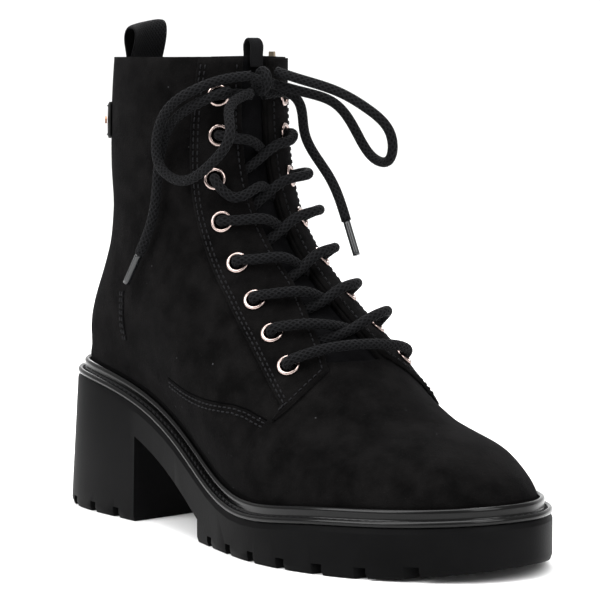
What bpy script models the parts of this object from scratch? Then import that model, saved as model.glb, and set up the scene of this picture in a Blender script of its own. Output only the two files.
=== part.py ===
"""Biker boot: one right lace-up ankle boot on a block heel and a lugged platform sole.

The long axis of the sole runs along Y with the toe towards -Y, the lateral side is -X and the
medial side is +X. The sole stands on z = 0. Every length is in metres.

A place on the boot is first given in the maker's own terms: how far forward of the heel's back it
lies, how far to the medial side of the axis, and how high above the floor.
"""
import bpy
import bmesh
import math
import numpy as np
from mathutils import Vector

# Driving sizes of the sole
SOLE_LENGTH = 0.264
HEEL_WIDTH = 0.067
BALL_WIDTH = 0.102
HEEL_HEIGHT = 0.057
PLATFORM = 0.0165
TOE_SPRING = 0.0054
HEEL_LENGTH = 0.0685
HEEL_FLARE = 0.0030
ARCH_END = 0.123
ARCH_THICKNESS = 0.0125
ARCH_EXTRA = 0.0035
LUG_DEPTH = 0.0042
LUG_GROOVE = 0.0042
LUG_PITCH = 0.0175
LUG_REACH = 0.019
SIDE_STEP = 0.0008
SIDE_STEP_HEIGHT = 0.0022

# Driving sizes of the strip between sole and upper, and of the insole
WELT_HEIGHT = 0.0068
WELT_WIDTH = 0.0052
WELT_BEAD = 0.0015
INSOLE_THICKNESS = 0.003
INSOLE_GAP = 0.0038
FIT = 0.0003
HEM = WELT_HEIGHT + 0.0006
HEM_GAP = 0.0007

# Driving sizes of the upper
COLLAR_HEIGHT = 0.194
SHAFT_LENGTH = 0.0835
SHAFT_WIDTH = 0.062
INSTEP_HEIGHT = 0.060
UPPER_WALL = 0.0020
TONGUE_THICKNESS = 0.0022
TONGUE_OVERLAP = 0.014
TONGUE_ROOM = 0.0008
TONGUE_ROOT = 0.4
THROAT_LATERAL = 0.0085
THROAT_MEDIAL = 0.0038
THROAT_SPREAD_LATERAL = 0.0150
THROAT_SPREAD_MEDIAL = 0.0015
THROAT_STRAIGHT = 5.7
THROAT_END = 8.9

# Driving sizes of facings, eyelets, lace and trim
FACING_THICKNESS = 0.0015
FACING_TOP = FACING_THICKNESS + FIT
EYELET_RADIUS = 0.0046
EYELET_HOLE = 0.0029
EYELET_WALL = 0.00035
EYELET_HEIGHT = 0.0011
EYELET_SEAT = 0.0003
LACE_RADIUS = 0.0021
BIGHT = 0.0060
COLLAR_DIP = 0.0105
COLLAR_DIP_START = 0.068
LOOP_WIDTH = 0.0225
LOOP_OFFSET = -0.0055
LOOP_HEIGHT = 0.0140
LOOP_DEPTH = 0.012
LOOP_THICKNESS = 0.0014
LOOP_SLANT = 0.0018
TAB_WIDTH = 0.0068
TAB_HEIGHT = 0.0072
TAB_DEPTH = 0.0070
TAB_THICKNESS = 0.0012
KNOT_RADIUS = 0.0046
BOW_LENGTH = 0.044
TAIL_LENGTH = 0.072
TAG_WIDTH = 0.060
TAG_THICKNESS = 0.0012
STUD_RADIUS = 0.0016
ZIP_PLACE = 0.0780
ZIP_WIDTH = 0.0076
ZIP_THICKNESS = 0.0012
ZIP_END = 8.6
SLIDER_LENGTH = 0.0085
SLIDER_WIDTH = 0.0046
SLIDER_THICKNESS = 0.0024
PULL_LENGTH = 0.0125
PULL_WIDTH = 0.0056
PULL_THICKNESS = 0.0010
PULL_HOLE = 0.0013
AGLET_LENGTH = 0.0150
AGLET_RADIUS = 0.0015

# The sole's outline: how far along the sole, then the half widths to the lateral and the medial
# side as shares of the size named last
SOLE_OUTLINE = (
    (0.000, 0.000, 0.000, HEEL_WIDTH),
    (0.030, 0.300, 0.300, HEEL_WIDTH),
    (0.090, 0.430, 0.440, HEEL_WIDTH),
    (0.180, 0.480, 0.500, HEEL_WIDTH),
    (0.300, 0.505, 0.470, HEEL_WIDTH),
    (0.420, 0.385, 0.280, BALL_WIDTH),
    (0.540, 0.475, 0.335, BALL_WIDTH),
    (0.660, 0.537, 0.430, BALL_WIDTH),
    (0.760, 0.513, 0.466, BALL_WIDTH),
    (0.860, 0.421, 0.423, BALL_WIDTH),
    (0.940, 0.281, 0.310, BALL_WIDTH),
    (0.985, 0.137, 0.167, BALL_WIDTH),
    (1.000, -0.039, 0.039, BALL_WIDTH),
)

# The sole's upper face: how far along, the share of the heel's rise over the platform, and the
# share of the toe spring
SOLE_TOP = (
    (0.00, 1.020, 0.00),
    (0.08, 0.995, 0.00),
    (0.15, 0.945, 0.00),
    (0.28, 0.745, 0.00),
    (0.38, 0.480, 0.00),
    (0.48, 0.175, 0.00),
    (0.58, 0.000, 0.00),
    (0.75, 0.000, 0.33),
    (0.90, 0.000, 0.66),
    (1.00, 0.000, 1.00),
)

# The last, as loops that each run from the ridge round one side to the back, from the collar
# down to the last's lower edge. Along is a share of the sole's length, and height one of the rise
# from the last's lower edge to the collar. Foot share is how far the loop takes the sole's outline in place of the shaft's oval,
# and sag how far it follows the sole's rise and fall. Full widens the loop: a share of the
# shaft's width
LAST_ROWS = (
    # ridge along, ridge high, ridge medial, back along, back high, oval, foot share, sag, full
    (0.4400, 1.000, -0.050, 0.1240, 1.000, 0.990, 0.000, 0.00, 0.000),
    (0.4356, 0.867, -0.050, 0.1170, 0.814, 1.010, 0.000, 0.00, 0.000),
    (0.4430, 0.746, -0.048, 0.1165, 0.644, 1.010, 0.000, 0.00, 0.000),
    (0.4568, 0.665, -0.044, 0.1175, 0.534, 1.000, 0.000, 0.00, 0.000),
    (0.4810, 0.583, -0.036, 0.1080, 0.411, 1.000, 0.030, 0.00, 0.000),
    (0.5170, 0.502, -0.024, 0.0890, 0.302, 1.030, 0.100, 0.02, 0.010),
    (0.5568, 0.436, -0.010, 0.0710, 0.226, 1.050, 0.200, 0.06, 0.020),
    (0.6023, 0.371, 0.010, 0.0590, 0.170, 1.060, 0.320, 0.12, 0.030),
    (0.6534, 0.307, 0.030, 0.0515, 0.125, 1.060, 0.450, 0.20, 0.036),
    (0.7045, 0.241, 0.045, 0.0470, 0.090, 1.050, 0.550, 0.30, 0.034),
    (0.7614, 0.173, 0.055, 0.0440, 0.061, 1.030, 0.645, 0.41, 0.030),
    (0.8182, 0.132, 0.060, 0.0415, 0.041, 1.000, 0.740, 0.53, 0.030),
    (0.8750, 0.106, 0.060, 0.0390, 0.024, 1.000, 0.830, 0.66, 0.030),
    (0.9205, 0.079, 0.060, 0.0365, 0.012, 1.000, 0.925, 0.79, 0.029),
    (0.9527, 0.043, 0.060, 0.0343, 0.004, 1.000, 0.970, 0.90, 0.019),
    (0.9697, 0.018, 0.060, 0.0327, 0.001, 1.000, 0.992, 0.97, 0.009),
)
LAST_END = len(LAST_ROWS)


def natural_spline(x, knots, values):
    """Smooth curve through the knots: piecewise cubics with equal slopes and bends where they
    meet, and no bend at the two ends. The bends solve one band of linear equations."""
    knots = np.asarray(knots, float)
    values = np.asarray(values, float)
    gaps = np.diff(knots)
    slopes = np.diff(values) / gaps
    count = len(knots)
    matrix = np.eye(count)
    right = np.zeros(count)
    for i in range(1, count - 1):
        matrix[i, i - 1:i + 2] = gaps[i - 1], 2 * (gaps[i - 1] + gaps[i]), gaps[i]
        right[i] = 6 * (slopes[i] - slopes[i - 1])
    bends = np.linalg.solve(matrix, right)
    x = np.asarray(x, float)
    place = np.clip(np.searchsorted(knots, x) - 1, 0, count - 2)
    before = knots[place + 1] - x
    after = x - knots[place]
    gap = gaps[place]
    cubic = (bends[place] * before ** 3 + bends[place + 1] * after ** 3) / (6 * gap)
    left = (values[place] / gap - bends[place] * gap / 6) * before
    return cubic + left + (values[place + 1] / gap - bends[place + 1] * gap / 6) * after


def outline(angles, side, inset=0.0, flare=0.0):
    """Points (forward, medial) of the sole's outline on one side, side -1 for lateral and 1 for
    medial. The angle runs from 0 at the heel's back to pi at the toe's tip, and the way forward
    is the sole's length times half of one minus its cosine. Each point is then moved inwards,
    square to the outline, by the inset and by what the heel narrows above its flared foot."""
    knots = [math.acos(1 - 2 * row[0]) for row in SOLE_OUTLINE]
    widths = [row[1 if side < 0 else 2] * row[3] for row in SOLE_OUTLINE]
    angles = np.asarray(angles, float)
    step = 0.002

    def raw(angle):
        wide = natural_spline(np.abs(angle), knots, widths) * np.where(angle < 0, -1, 1)
        return np.stack([SOLE_LENGTH * (1 - np.cos(angle)) / 2, side * wide], -1)

    here = np.clip(angles, 0, math.pi - step)
    tangent = raw(here + step) - raw(here - step)
    tangent[angles > math.pi - 2 * step] = (0, -side)
    tangent[angles < step] = (0, side)
    tangent /= np.linalg.norm(tangent, axis=-1, keepdims=True)
    inward = side * np.stack([tangent[:, 1], -tangent[:, 0]], -1)
    along = (1 - np.cos(angles)) / 2
    heel_part = np.clip(1 - along / 0.42, 0, 1)
    heel_part = heel_part * heel_part * (3 - 2 * heel_part)
    return raw(angles) + inward * (inset + HEEL_FLARE * heel_part * (1 - flare))[:, None]


def sole_top(forward):
    """Height of the sole's upper face at places forward of the heel's back."""
    along = np.clip(np.asarray(forward, float) / SOLE_LENGTH, 0, 1)
    knots = [row[0] for row in SOLE_TOP]
    rise = natural_spline(along, knots, [row[1] for row in SOLE_TOP])
    spring = natural_spline(along, knots, [row[2] for row in SOLE_TOP])
    return PLATFORM + (HEEL_HEIGHT - PLATFORM) * rise + TOE_SPRING * spring


def sole_foot(forward):
    """Height of the sole's tread over the floor: none, then the toe spring's parabola."""
    along = np.asarray(forward, float) / SOLE_LENGTH
    return TOE_SPRING * np.clip((along - 0.80) / 0.20, 0, 1) ** 2


def middle_of_width():
    """How far the middle of the sole's width lies to the medial side of its long axis."""
    angles = np.linspace(0, math.pi, 181)
    lateral = outline(angles, -1, flare=1.0)[:, 1].min()
    medial = outline(angles, 1, flare=1.0)[:, 1].max()
    return (lateral + medial) / 2


MIDDLE = middle_of_width()


def world(points):
    """The boot's own frame from (forward, medial, up)."""
    points = np.asarray(points, float)
    columns = [points[..., 1] - MIDDLE, SOLE_LENGTH / 2 - points[..., 0], points[..., 2]]
    return np.stack(columns, -1)


def material(name, colour, roughness, metallic=0.0):
    made = bpy.data.materials.new(name)
    made.use_nodes = True
    shader = made.node_tree.nodes["Principled BSDF"]
    shader.inputs["Base Color"].default_value = (*colour, 1.0)
    shader.inputs["Roughness"].default_value = roughness
    shader.inputs["Metallic"].default_value = metallic
    made.diffuse_color = (*colour, 1.0)
    return made


def new_object(name, points, faces, finish, smooth=True):
    """A mesh object in the boot's collection, its doubled corners merged and its faces out."""
    mesh = bpy.data.meshes.new(name)
    mesh.from_pydata([tuple(p) for p in points], [], faces)
    cleaned = bmesh.new()
    cleaned.from_mesh(mesh)
    bmesh.ops.remove_doubles(cleaned, verts=cleaned.verts, dist=0.00002)
    bmesh.ops.dissolve_degenerate(cleaned, dist=0.00001, edges=cleaned.edges)
    bmesh.ops.recalc_face_normals(cleaned, faces=cleaned.faces)
    cleaned.to_mesh(mesh)
    cleaned.free()
    mesh.materials.append(finish)
    if smooth:
        mesh.shade_smooth()
        mesh.set_sharp_from_angle(angle=math.radians(40))
    made = bpy.data.objects.new(name, mesh)
    BOOT.objects.link(made)
    return made


def apply_modifiers(thing):
    """The object's mesh becomes what its modifiers make of it."""
    bpy.context.view_layer.update()
    evaluated = thing.evaluated_get(bpy.context.evaluated_depsgraph_get())
    mesh = bpy.data.meshes.new_from_object(evaluated)
    thing.modifiers.clear()
    thing.data = mesh


def cut(thing, cutters, operation="DIFFERENCE"):
    """Cut each cutter out of the thing, or join it on, and put the cutters out of sight."""
    for cutter in cutters:
        change = thing.modifiers.new(cutter.name, "BOOLEAN")
        change.object = cutter
        change.operation = operation
        change.solver = "EXACT"
    apply_modifiers(thing)
    for cutter in cutters:
        bpy.data.objects.remove(cutter)


def box_cutter(name, corner, size, turn=0.0):
    """A box for cutting: its middle (forward, medial, up), its size and its turn about Z."""
    bpy.ops.mesh.primitive_cube_add(size=1.0)
    made = bpy.context.active_object
    made.name = name
    made.scale = (size[1], size[0], size[2])
    made.rotation_euler = (0, 0, turn)
    made.location = world(corner)
    bpy.context.view_layer.update()
    for place in list(made.users_collection):
        place.objects.unlink(made)
    CUTTERS.objects.link(made)
    made.hide_render = True
    made.display_type = "WIRE"
    return made


def closed_loop(angles, inset, flare, height):
    """One loop round the boot at paired places: lateral side forward, medial side back. The
    height is a function of the way forward."""
    lateral = outline(angles, -1, inset, flare)
    medial = outline(angles, 1, inset, flare)
    loop = np.concatenate([lateral, medial[-2:0:-1]])
    return np.column_stack([loop, height(loop[:, 0])])


def loft_loops(name, loops, finish):
    """A closed solid through loops from below to above, its two ends closed by a ladder of
    faces between the lateral and the medial side."""
    count = len(loops[0])
    half = count // 2
    points = np.concatenate(loops)
    faces = []
    for level in range(len(loops) - 1):
        low = level * count
        for i in range(count):
            j = (i + 1) % count
            faces.append((low + i, low + j, low + count + j, low + count + i))
    for base in (0, (len(loops) - 1) * count):
        for i in range(half):
            ring = [base + i, base + i + 1, base + (count - i - 1) % count, base + (count - i) % count]
            faces.append(tuple(dict.fromkeys(ring)))
    return new_object(name, world(points), faces, finish)


def loft_grid(name, outer, inner, finish, wrap=False):
    """A closed solid between two grids of the same size: the outer skin, the inner skin, and
    the rims where they end. A wrapped grid closes on itself from its last column to its first."""
    rows, columns = outer.shape[:2]
    points = np.concatenate([outer.reshape(-1, 3), inner.reshape(-1, 3)])
    shift = rows * columns
    faces = []
    spans = columns if wrap else columns - 1
    for i in range(rows - 1):
        for j in range(spans):
            k = (j + 1) % columns
            a, b = i * columns + j, i * columns + k
            c, d = a + columns, b + columns
            faces.append((a, b, d, c))
            faces.append((shift + a, shift + c, shift + d, shift + b))
    for i, row in ((0, 0), (1, (rows - 1) * columns)):
        for j in range(spans):
            a, b = row + j, row + (j + 1) % columns
            faces.append((a, shift + a, shift + b, b) if i == 0 else (a, b, shift + b, shift + a))
    if not wrap:
        for edge in (0, columns - 1):
            for i in range(rows - 1):
                a, b = i * columns + edge, (i + 1) * columns + edge
                faces.append((a, b, shift + b, shift + a))
    return new_object(name, world(points), faces, finish)


# Sole, welt and insole


def make_outsole():
    """One moulded rubber unit: the block heel, the arch and the platform, cut out of one loft
    of the outline, with grooves between the lugs of its tread."""
    angles = np.linspace(0, math.pi, 41)
    step_top = SIDE_STEP_HEIGHT

    def above_foot(rise):
        return lambda forward: sole_foot(forward) + rise

    def below_top(drop):
        return lambda forward: sole_top(forward) - drop

    loops = [
        closed_loop(angles, SIDE_STEP, 1.0, above_foot(0.0)),
        closed_loop(angles, 0.0, 1.0, above_foot(step_top)),
        closed_loop(angles, 0.0, 0.9, above_foot(PLATFORM * 0.55)),
        closed_loop(angles, 0.0, 0.0, below_top(SIDE_STEP_HEIGHT)),
        closed_loop(angles, SIDE_STEP, 0.0, below_top(0.0)),
    ]
    sole = loft_loops("outsole", loops, RUBBER)
    wide = BALL_WIDTH * 1.4
    arch = arch_cutter(wide)
    cut(sole, [arch])
    cut(sole, lug_cutters(), "DIFFERENCE")
    return sole


def arch_cutter(wide):
    """The space under the arch, between the heel's breast and the platform's back: a side view
    with its upper edge a set thickness under the sole's top, run across the boot."""
    back, front = HEEL_LENGTH, ARCH_END
    forward = np.linspace(back, front, 9)
    thick = ARCH_THICKNESS + ARCH_EXTRA * (forward - back) / (front - back)
    upper = sole_top(forward) - thick
    drop = PLATFORM
    side = [(back, -drop)] + list(zip(forward, upper)) + [(front, -drop)]
    count = len(side)
    points = [(s, -wide / 2, z) for s, z in side] + [(s, wide / 2, z) for s, z in side]
    faces = [tuple(range(count)), tuple(range(2 * count - 1, count - 1, -1))]
    for i in range(count):
        j = (i + 1) % count
        faces.append((i, i + count, j + count, j))
    made = new_object("arch_space", world(points), faces, RUBBER, smooth=False)
    BOOT.objects.unlink(made)
    CUTTERS.objects.link(made)
    return made


def lug_cutters():
    """Grooves across the tread's edges, a pitch apart, and one groove down its middle."""
    cutters = []
    deep = LUG_DEPTH * 2
    reach = LUG_REACH
    first = ARCH_END + LUG_PITCH * 0.75
    count = int((SOLE_LENGTH * 0.93 - first) / LUG_PITCH) + 1
    for i in range(count):
        forward = first + i * LUG_PITCH
        angle = math.acos(1 - 2 * forward / SOLE_LENGTH)
        rise = float(sole_foot(forward))
        for side in (-1, 1):
            edge = outline([angle], side, flare=1.0)[0]
            place = (forward, edge[1] - side * reach * 0.35, rise)
            size = (LUG_GROOVE, reach * 1.3, deep)
            cutters.append(box_cutter(f"lug_{i}_{side}", place, size, side * 0.16))
    for i in range(3):
        forward = HEEL_LENGTH * (0.30 + 0.26 * i)
        angle = math.acos(1 - 2 * forward / SOLE_LENGTH)
        for side in (-1, 1):
            edge = outline([angle], side, flare=1.0)[0]
            place = (forward, edge[1] - side * reach * 0.3, 0)
            size = (LUG_GROOVE, reach, deep)
            cutters.append(box_cutter(f"heel_lug_{i}_{side}", place, size, side * 0.16))
    return cutters


def make_welt():
    """The glossy strip round the sole's top: a lower bead flush with the sole's side, a ledge
    with a groove for the stitches, and an upper bead against the upper."""
    angles = np.linspace(0, math.pi, 35)
    bead = WELT_BEAD
    high = WELT_HEIGHT
    wide = WELT_WIDTH
    profile = (
        # inset, height over the sole's top
        (SIDE_STEP + FIT, FIT),
        (SIDE_STEP - bead * 0.45, bead * 0.55),
        (SIDE_STEP - bead * 0.10, bead * 1.75),
        (wide * 0.46, bead * 1.35),
        (wide * 0.62, bead * 1.75),
        (wide * 0.64, high - bead * 0.9),
        (wide * 0.82, high),
        (wide, high - bead * 0.5),
        (wide, FIT),
    )
    loops = [closed_loop(angles, inset, 0.0, lambda f, h=h: sole_top(f) + h) for inset, h in profile]
    count = len(loops[0])
    points = np.concatenate(loops)
    faces = []
    for level in range(len(loops)):
        low, next_low = level * count, (level + 1) % len(loops) * count
        for i in range(count):
            j = (i + 1) % count
            faces.append((low + i, low + j, next_low + j, next_low + i))
    return new_object("welt", world(points), faces, RAND)


def make_insole():
    """The sock that the foot stands on, inside the upper and a fit's width over the sole."""
    angles = np.linspace(0, math.pi, 33)
    inset = WELT_WIDTH + UPPER_WALL + INSOLE_GAP
    edge = INSOLE_THICKNESS * 0.3
    loops = [
        closed_loop(angles, inset, 0.0, lambda f: sole_top(f) + FIT),
        closed_loop(angles, inset, 0.0, lambda f: sole_top(f) + INSOLE_THICKNESS - edge),
        closed_loop(angles, inset + edge, 0.0, lambda f: sole_top(f) + INSOLE_THICKNESS),
    ]
    return loft_loops("insole", loops, SOCK)


# The last: the surface that the upper and all its overlays are worked out from
def last_table():
    """The table above as lengths, and below its last row the last's lower edge."""
    edge = outline([0.0, math.pi], 1, WELT_WIDTH + HEM_GAP)[:, 0]
    low = sole_top(edge) + HEM
    rise = COLLAR_HEIGHT - low
    rows = []
    for row in LAST_ROWS:
        ridge = (row[0] * SOLE_LENGTH, row[2] * SHAFT_WIDTH, low[1] + row[1] * rise[1])
        back = (row[3] * SOLE_LENGTH, low[0] + row[4] * rise[0])
        rows.append((*ridge, *back, row[5] * SHAFT_WIDTH / 2, row[6], row[7], row[8] * SHAFT_WIDTH))
    rows.append((edge[1], 0.0, low[1], edge[0], low[0], SHAFT_WIDTH / 2, 1.0, 1.0, 0.0))
    return np.array(rows)


LAST = last_table()


def rib_points(stations, side, count=61):
    """Loops of the last on one side, one for each station: from the ridge round the side to the
    back. A loop is the shaft's oval, the sole's outline, or a mix of both, stretched between
    its ridge and its back point."""
    index = np.arange(len(LAST))
    stations = np.asarray(stations, float)
    row = [natural_spline(stations, index, LAST[:, c])[:, None] for c in range(LAST.shape[1])]
    ridge_along, middle, ridge_high, back_along, back_high, oval, foot, sag, full = row
    angles = np.linspace(math.pi, 0, count)
    edge = outline(angles, side, WELT_WIDTH + HEM_GAP)
    along = (edge[:, 0] - edge[-1, 0]) / (edge[0, 0] - edge[-1, 0])
    edge_high = sole_top(edge[:, 0]) + HEM
    dip = edge_high - (edge_high[-1] + (edge_high[0] - edge_high[-1]) * along)
    forward = back_along + (ridge_along - back_along) * along
    high = back_high + (ridge_high - back_high) * along + sag * dip
    round_part = np.sin(angles) ** 0.92
    shaft = middle * along ** 2 + side * oval * round_part
    across = (1 - foot) * shaft + foot * edge[:, 1] + side * full * round_part
    return np.stack([forward, across, high], -1)


def rib_lengths(points):
    """Length along each rib from the ridge to each of its points."""
    steps = np.linalg.norm(np.diff(points, axis=1), axis=2)
    return np.concatenate([np.zeros((len(points), 1)), np.cumsum(steps, axis=1)], axis=1)


def surface(stations, across):
    """Points of the last at stations down its length and at distances across it from the
    ridge, below 0 to the lateral side. Both are arrays of one shape, a row for each station."""
    stations = np.asarray(stations, float)
    across = np.asarray(across, float)
    result = np.zeros(across.shape + (3,))
    for side in (-1, 1):
        ribs = rib_points(stations, side)
        lengths = rib_lengths(ribs)
        for i in range(len(stations)):
            chosen = across[i] * side >= 0
            for axis in range(3):
                wanted = np.abs(across[i, chosen])
                result[i, chosen, axis] = np.interp(wanted, lengths[i], ribs[i, :, axis])
    return result


def surface_normals(stations, across):
    """Outward normals of the last, from small steps down its length and across it."""
    step = 0.0008
    low = np.clip(stations - 0.03, 0, LAST_END)
    high = np.clip(stations + 0.03, 0, LAST_END)
    down = surface(high, across) - surface(low, across)
    over = surface(stations, across + step) - surface(stations, across - step)
    normal = np.cross(down, over)
    size = np.linalg.norm(normal, axis=-1, keepdims=True)
    return normal / np.maximum(size, 1e-12)


def rib_reach(stations, side):
    """Length of the whole rib from the ridge to its foot at each station."""
    return rib_lengths(rib_points(np.asarray(stations, float), side))[:, -1]




def throat_edge(stations, side):
    """Distance from the ridge to the throat's edge on one side, wider towards its foot."""
    share = np.clip((np.asarray(stations, float) - THROAT_STRAIGHT) / (THROAT_END - THROAT_STRAIGHT), 0, 1)
    extra = THROAT_SPREAD_LATERAL if side < 0 else THROAT_SPREAD_MEDIAL
    start = THROAT_LATERAL if side < 0 else THROAT_MEDIAL
    return start + extra * share ** 1.2


def upper_grid(stations, columns):
    """Distances across the last for the upper: from the lateral back to the throat's edge and
    from there to the medial back, in even steps on each side."""
    rows = []
    reach = {side: rib_reach(stations, side) for side in (-1, 1)}
    edge = {side: np.minimum(throat_edge(stations, side), 0.22 * reach[side]) for side in (-1, 1)}
    share = np.linspace(0, 1, columns + 1)
    for i in range(len(stations)):
        one = -reach[-1][i] + (reach[-1][i] - edge[-1][i]) * share
        two = edge[1][i] + (reach[1][i] - edge[1][i]) * share
        rows.append(np.concatenate([one, [-edge[-1][i] / 3, edge[1][i] / 3], two]))
    return np.array(rows)


UPPER_ROWS = np.concatenate([
    np.linspace(0, THROAT_END, 17),
    np.linspace(THROAT_END, LAST_END, 11)[1:],
])


def make_upper():
    """The lasted shell: the last's surface with a real wall, open at the collar, down the
    throat and underneath, where insole and sole close it. From the last's lower edge a hem
    runs straight down, inside the welt."""
    columns = 13
    across = upper_grid(UPPER_ROWS, columns)
    last = surface(UPPER_ROWS, across)
    hem = last[-1:].copy()
    hem[:, :, 2] -= HEM - 2 * FIT
    outer = np.concatenate([last, hem])
    count = outer.shape[1]
    faces = []
    for i in range(len(outer) - 1):
        throat = i < len(UPPER_ROWS) and UPPER_ROWS[i] < THROAT_END - 1e-6
        for j in range(count - 1):
            if throat and columns <= j < columns + 3:
                continue
            a = i * count + j
            faces.append((a, a + 1, a + count + 1, a + count))
    made = new_object("upper", world(outer.reshape(-1, 3)), faces, SUEDE)
    wall = made.modifiers.new("wall", "SOLIDIFY")
    wall.thickness = UPPER_WALL
    wall.offset = -1
    wall.use_even_offset = True
    apply_modifiers(made)
    return made


def layer(name, stations, across, low, high, finish):
    """A sheet on the last: the solid between two heights over its surface."""
    points = surface(stations, across)
    normals = surface_normals(stations, across)
    return loft_grid(name, points + normals * high, points + normals * low, finish)


def make_tongue():
    """The padded flap behind the laces, inside the upper, from the throat's foot to just over
    the collar."""
    stations = UPPER_ROWS[UPPER_ROWS < THROAT_END + TONGUE_ROOT]
    share = np.linspace(-1, 1, 11)
    lateral = throat_edge(stations, -1) + TONGUE_OVERLAP
    medial = throat_edge(stations, 1) + TONGUE_OVERLAP
    across = np.where(share < 0, share * lateral[:, None], share * medial[:, None])
    top = -UPPER_WALL - TONGUE_ROOM
    return layer("tongue", stations, across, top - TONGUE_THICKNESS, top, TONGUE_CLOTH)


# Facings and eyelets

# The facings' rear edges: station, then the distance from the ridge on the lateral and the medial
# side as shares of the shaft's width
FACING_REAR = (
    (0.00, 0.430, 0.350),
    (1.90, 0.500, 0.400),
    (4.20, 0.565, 0.470),
    (6.20, 0.645, 0.530),
    (8.20, 0.765, 0.580),
    (9.75, 0.850, 0.620),
    (10.30, 1.000, 0.640),
    (10.45, 1.035, 0.645),
)
# The flap at each facing's foot: where its lower edge starts and ends, and how far from the ridge
# its tip lies as a share of the shaft's width
FLAPS = {-1: (8.70, 10.45, 1.030), 1: (8.35, 10.30, 0.638)}
# The eyelets: station, then distance from the ridge on the lateral and the medial side
EYELET_ROWS = (
    (0.70, 0.290, 0.235),
    (1.45, 0.290, 0.235),
    (2.50, 0.347, 0.250),
    (3.80, 0.379, 0.260),
    (5.00, 0.411, 0.270),
    (6.30, 0.468, 0.285),
    (7.45, 0.532, 0.310),
    (8.55, 0.597, 0.345),
)


def make_facing(name, side):
    """The panel that carries a row of eyelets, laid on the upper from the throat's edge back to
    its own rear edge, with a flap that ends in a point."""
    start, end, tip = FLAPS[side]
    stations = np.concatenate([np.linspace(0.02, start, 13), np.linspace(start, end - 0.03, 6)[1:]])
    lower = np.clip((stations - start) / (end - start), 0, 1)
    edge = throat_edge(np.minimum(stations, start), side) + FIT
    front = edge + (tip * SHAFT_WIDTH - edge) * lower
    known = [row[0] for row in FACING_REAR]
    rear = np.interp(stations, known, [row[1 if side < 0 else 2] for row in FACING_REAR]) * SHAFT_WIDTH
    rear = np.maximum(rear, front + 3 * FIT)
    share = np.linspace(0, 1, 5)[None, :]
    across = side * (front[:, None] + (rear - front)[:, None] * share)
    return layer(name, stations, across, FIT, FACING_TOP, SUEDE)


def eyelet_frame(row, side):
    """Middle of an eyelet on the facing's outer face, and its axis pointing out."""
    station = np.array([EYELET_ROWS[row][0]])
    across = np.array([[side * EYELET_ROWS[row][1 if side < 0 else 2] * SHAFT_WIDTH]])
    normal = surface_normals(station, across)[0, 0]
    return surface(station, across)[0, 0] + normal * FACING_TOP, normal


def turned(name, profile, middle, axis, finish, segments=10):
    """A ring turned about an axis: the profile is a closed loop of (radius, height)."""
    first = np.cross(axis, (0.0, 0.0, 1.0))
    first /= np.linalg.norm(first)
    second = np.cross(axis, first)
    points, faces = [], []
    for i in range(segments):
        turn = 2 * math.pi * (i + 0.5) / segments
        out = math.cos(turn) * first + math.sin(turn) * second
        points += [middle + radius * out + high * axis for radius, high in profile]
    count = len(profile)
    for i in range(segments):
        j = (i + 1) % segments
        for k in range(count):
            m = (k + 1) % count
            faces.append((i * count + k, j * count + k, j * count + m, i * count + m))
    return new_object(name, world(points), faces, finish)


def rod(name, middle, axis, radius, low, high, finish, segments=10):
    """A straight round rod about an axis, between two heights along it."""
    first = np.cross(axis, (0.0, 0.0, 1.0))
    first /= np.linalg.norm(first)
    second = np.cross(axis, first)
    points = []
    for level in (low, high):
        for i in range(segments):
            turn = 2 * math.pi * (i + 0.5) / segments
            out = math.cos(turn) * first + math.sin(turn) * second
            points.append(middle + radius * out + level * axis)
    faces = [tuple(range(segments)), tuple(range(2 * segments - 1, segments - 1, -1))]
    for i in range(segments):
        j = (i + 1) % segments
        faces.append((i, i + segments, j + segments, j))
    return new_object(name, world(points), faces, finish)


def make_eyelets(upper, facings):
    """A hole through facing and upper for each eyelet, and the eyelet in it."""
    depth = FACING_TOP + UPPER_WALL - FIT
    hole = EYELET_HOLE + EYELET_WALL
    for side, word in ((-1, "lateral"), (1, "medial")):
        cutters = []
        for row in range(len(EYELET_ROWS)):
            middle, axis = eyelet_frame(row, side)
            drill = rod(f"hole_{word}_{row}", middle, axis, hole + FIT, -4 * depth / 3, depth, METAL)
            BOOT.objects.unlink(drill)
            CUTTERS.objects.link(drill)
            drill.hide_render = True
            cutters.append(drill)
            profile = (
                # radius, height over the facing
                (EYELET_HOLE, -depth),
                (EYELET_HOLE + EYELET_WALL * 0.4, EYELET_HEIGHT * 0.7),
                ((EYELET_HOLE + EYELET_RADIUS) / 2, EYELET_HEIGHT),
                (EYELET_RADIUS, EYELET_SEAT),
                (hole, EYELET_SEAT),
                (hole, -depth),
            )
            turned(f"eyelet_{word}_{row + 1}", profile, middle, axis, METAL)
        for target in (upper, facings[side]):
            for drill in cutters:
                change = target.modifiers.new(drill.name, "BOOLEAN")
                change.object = drill
                change.operation = "DIFFERENCE"
                change.solver = "EXACT"
            apply_modifiers(target)
        for drill in cutters:
            bpy.data.objects.remove(drill)


# Lace


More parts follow.
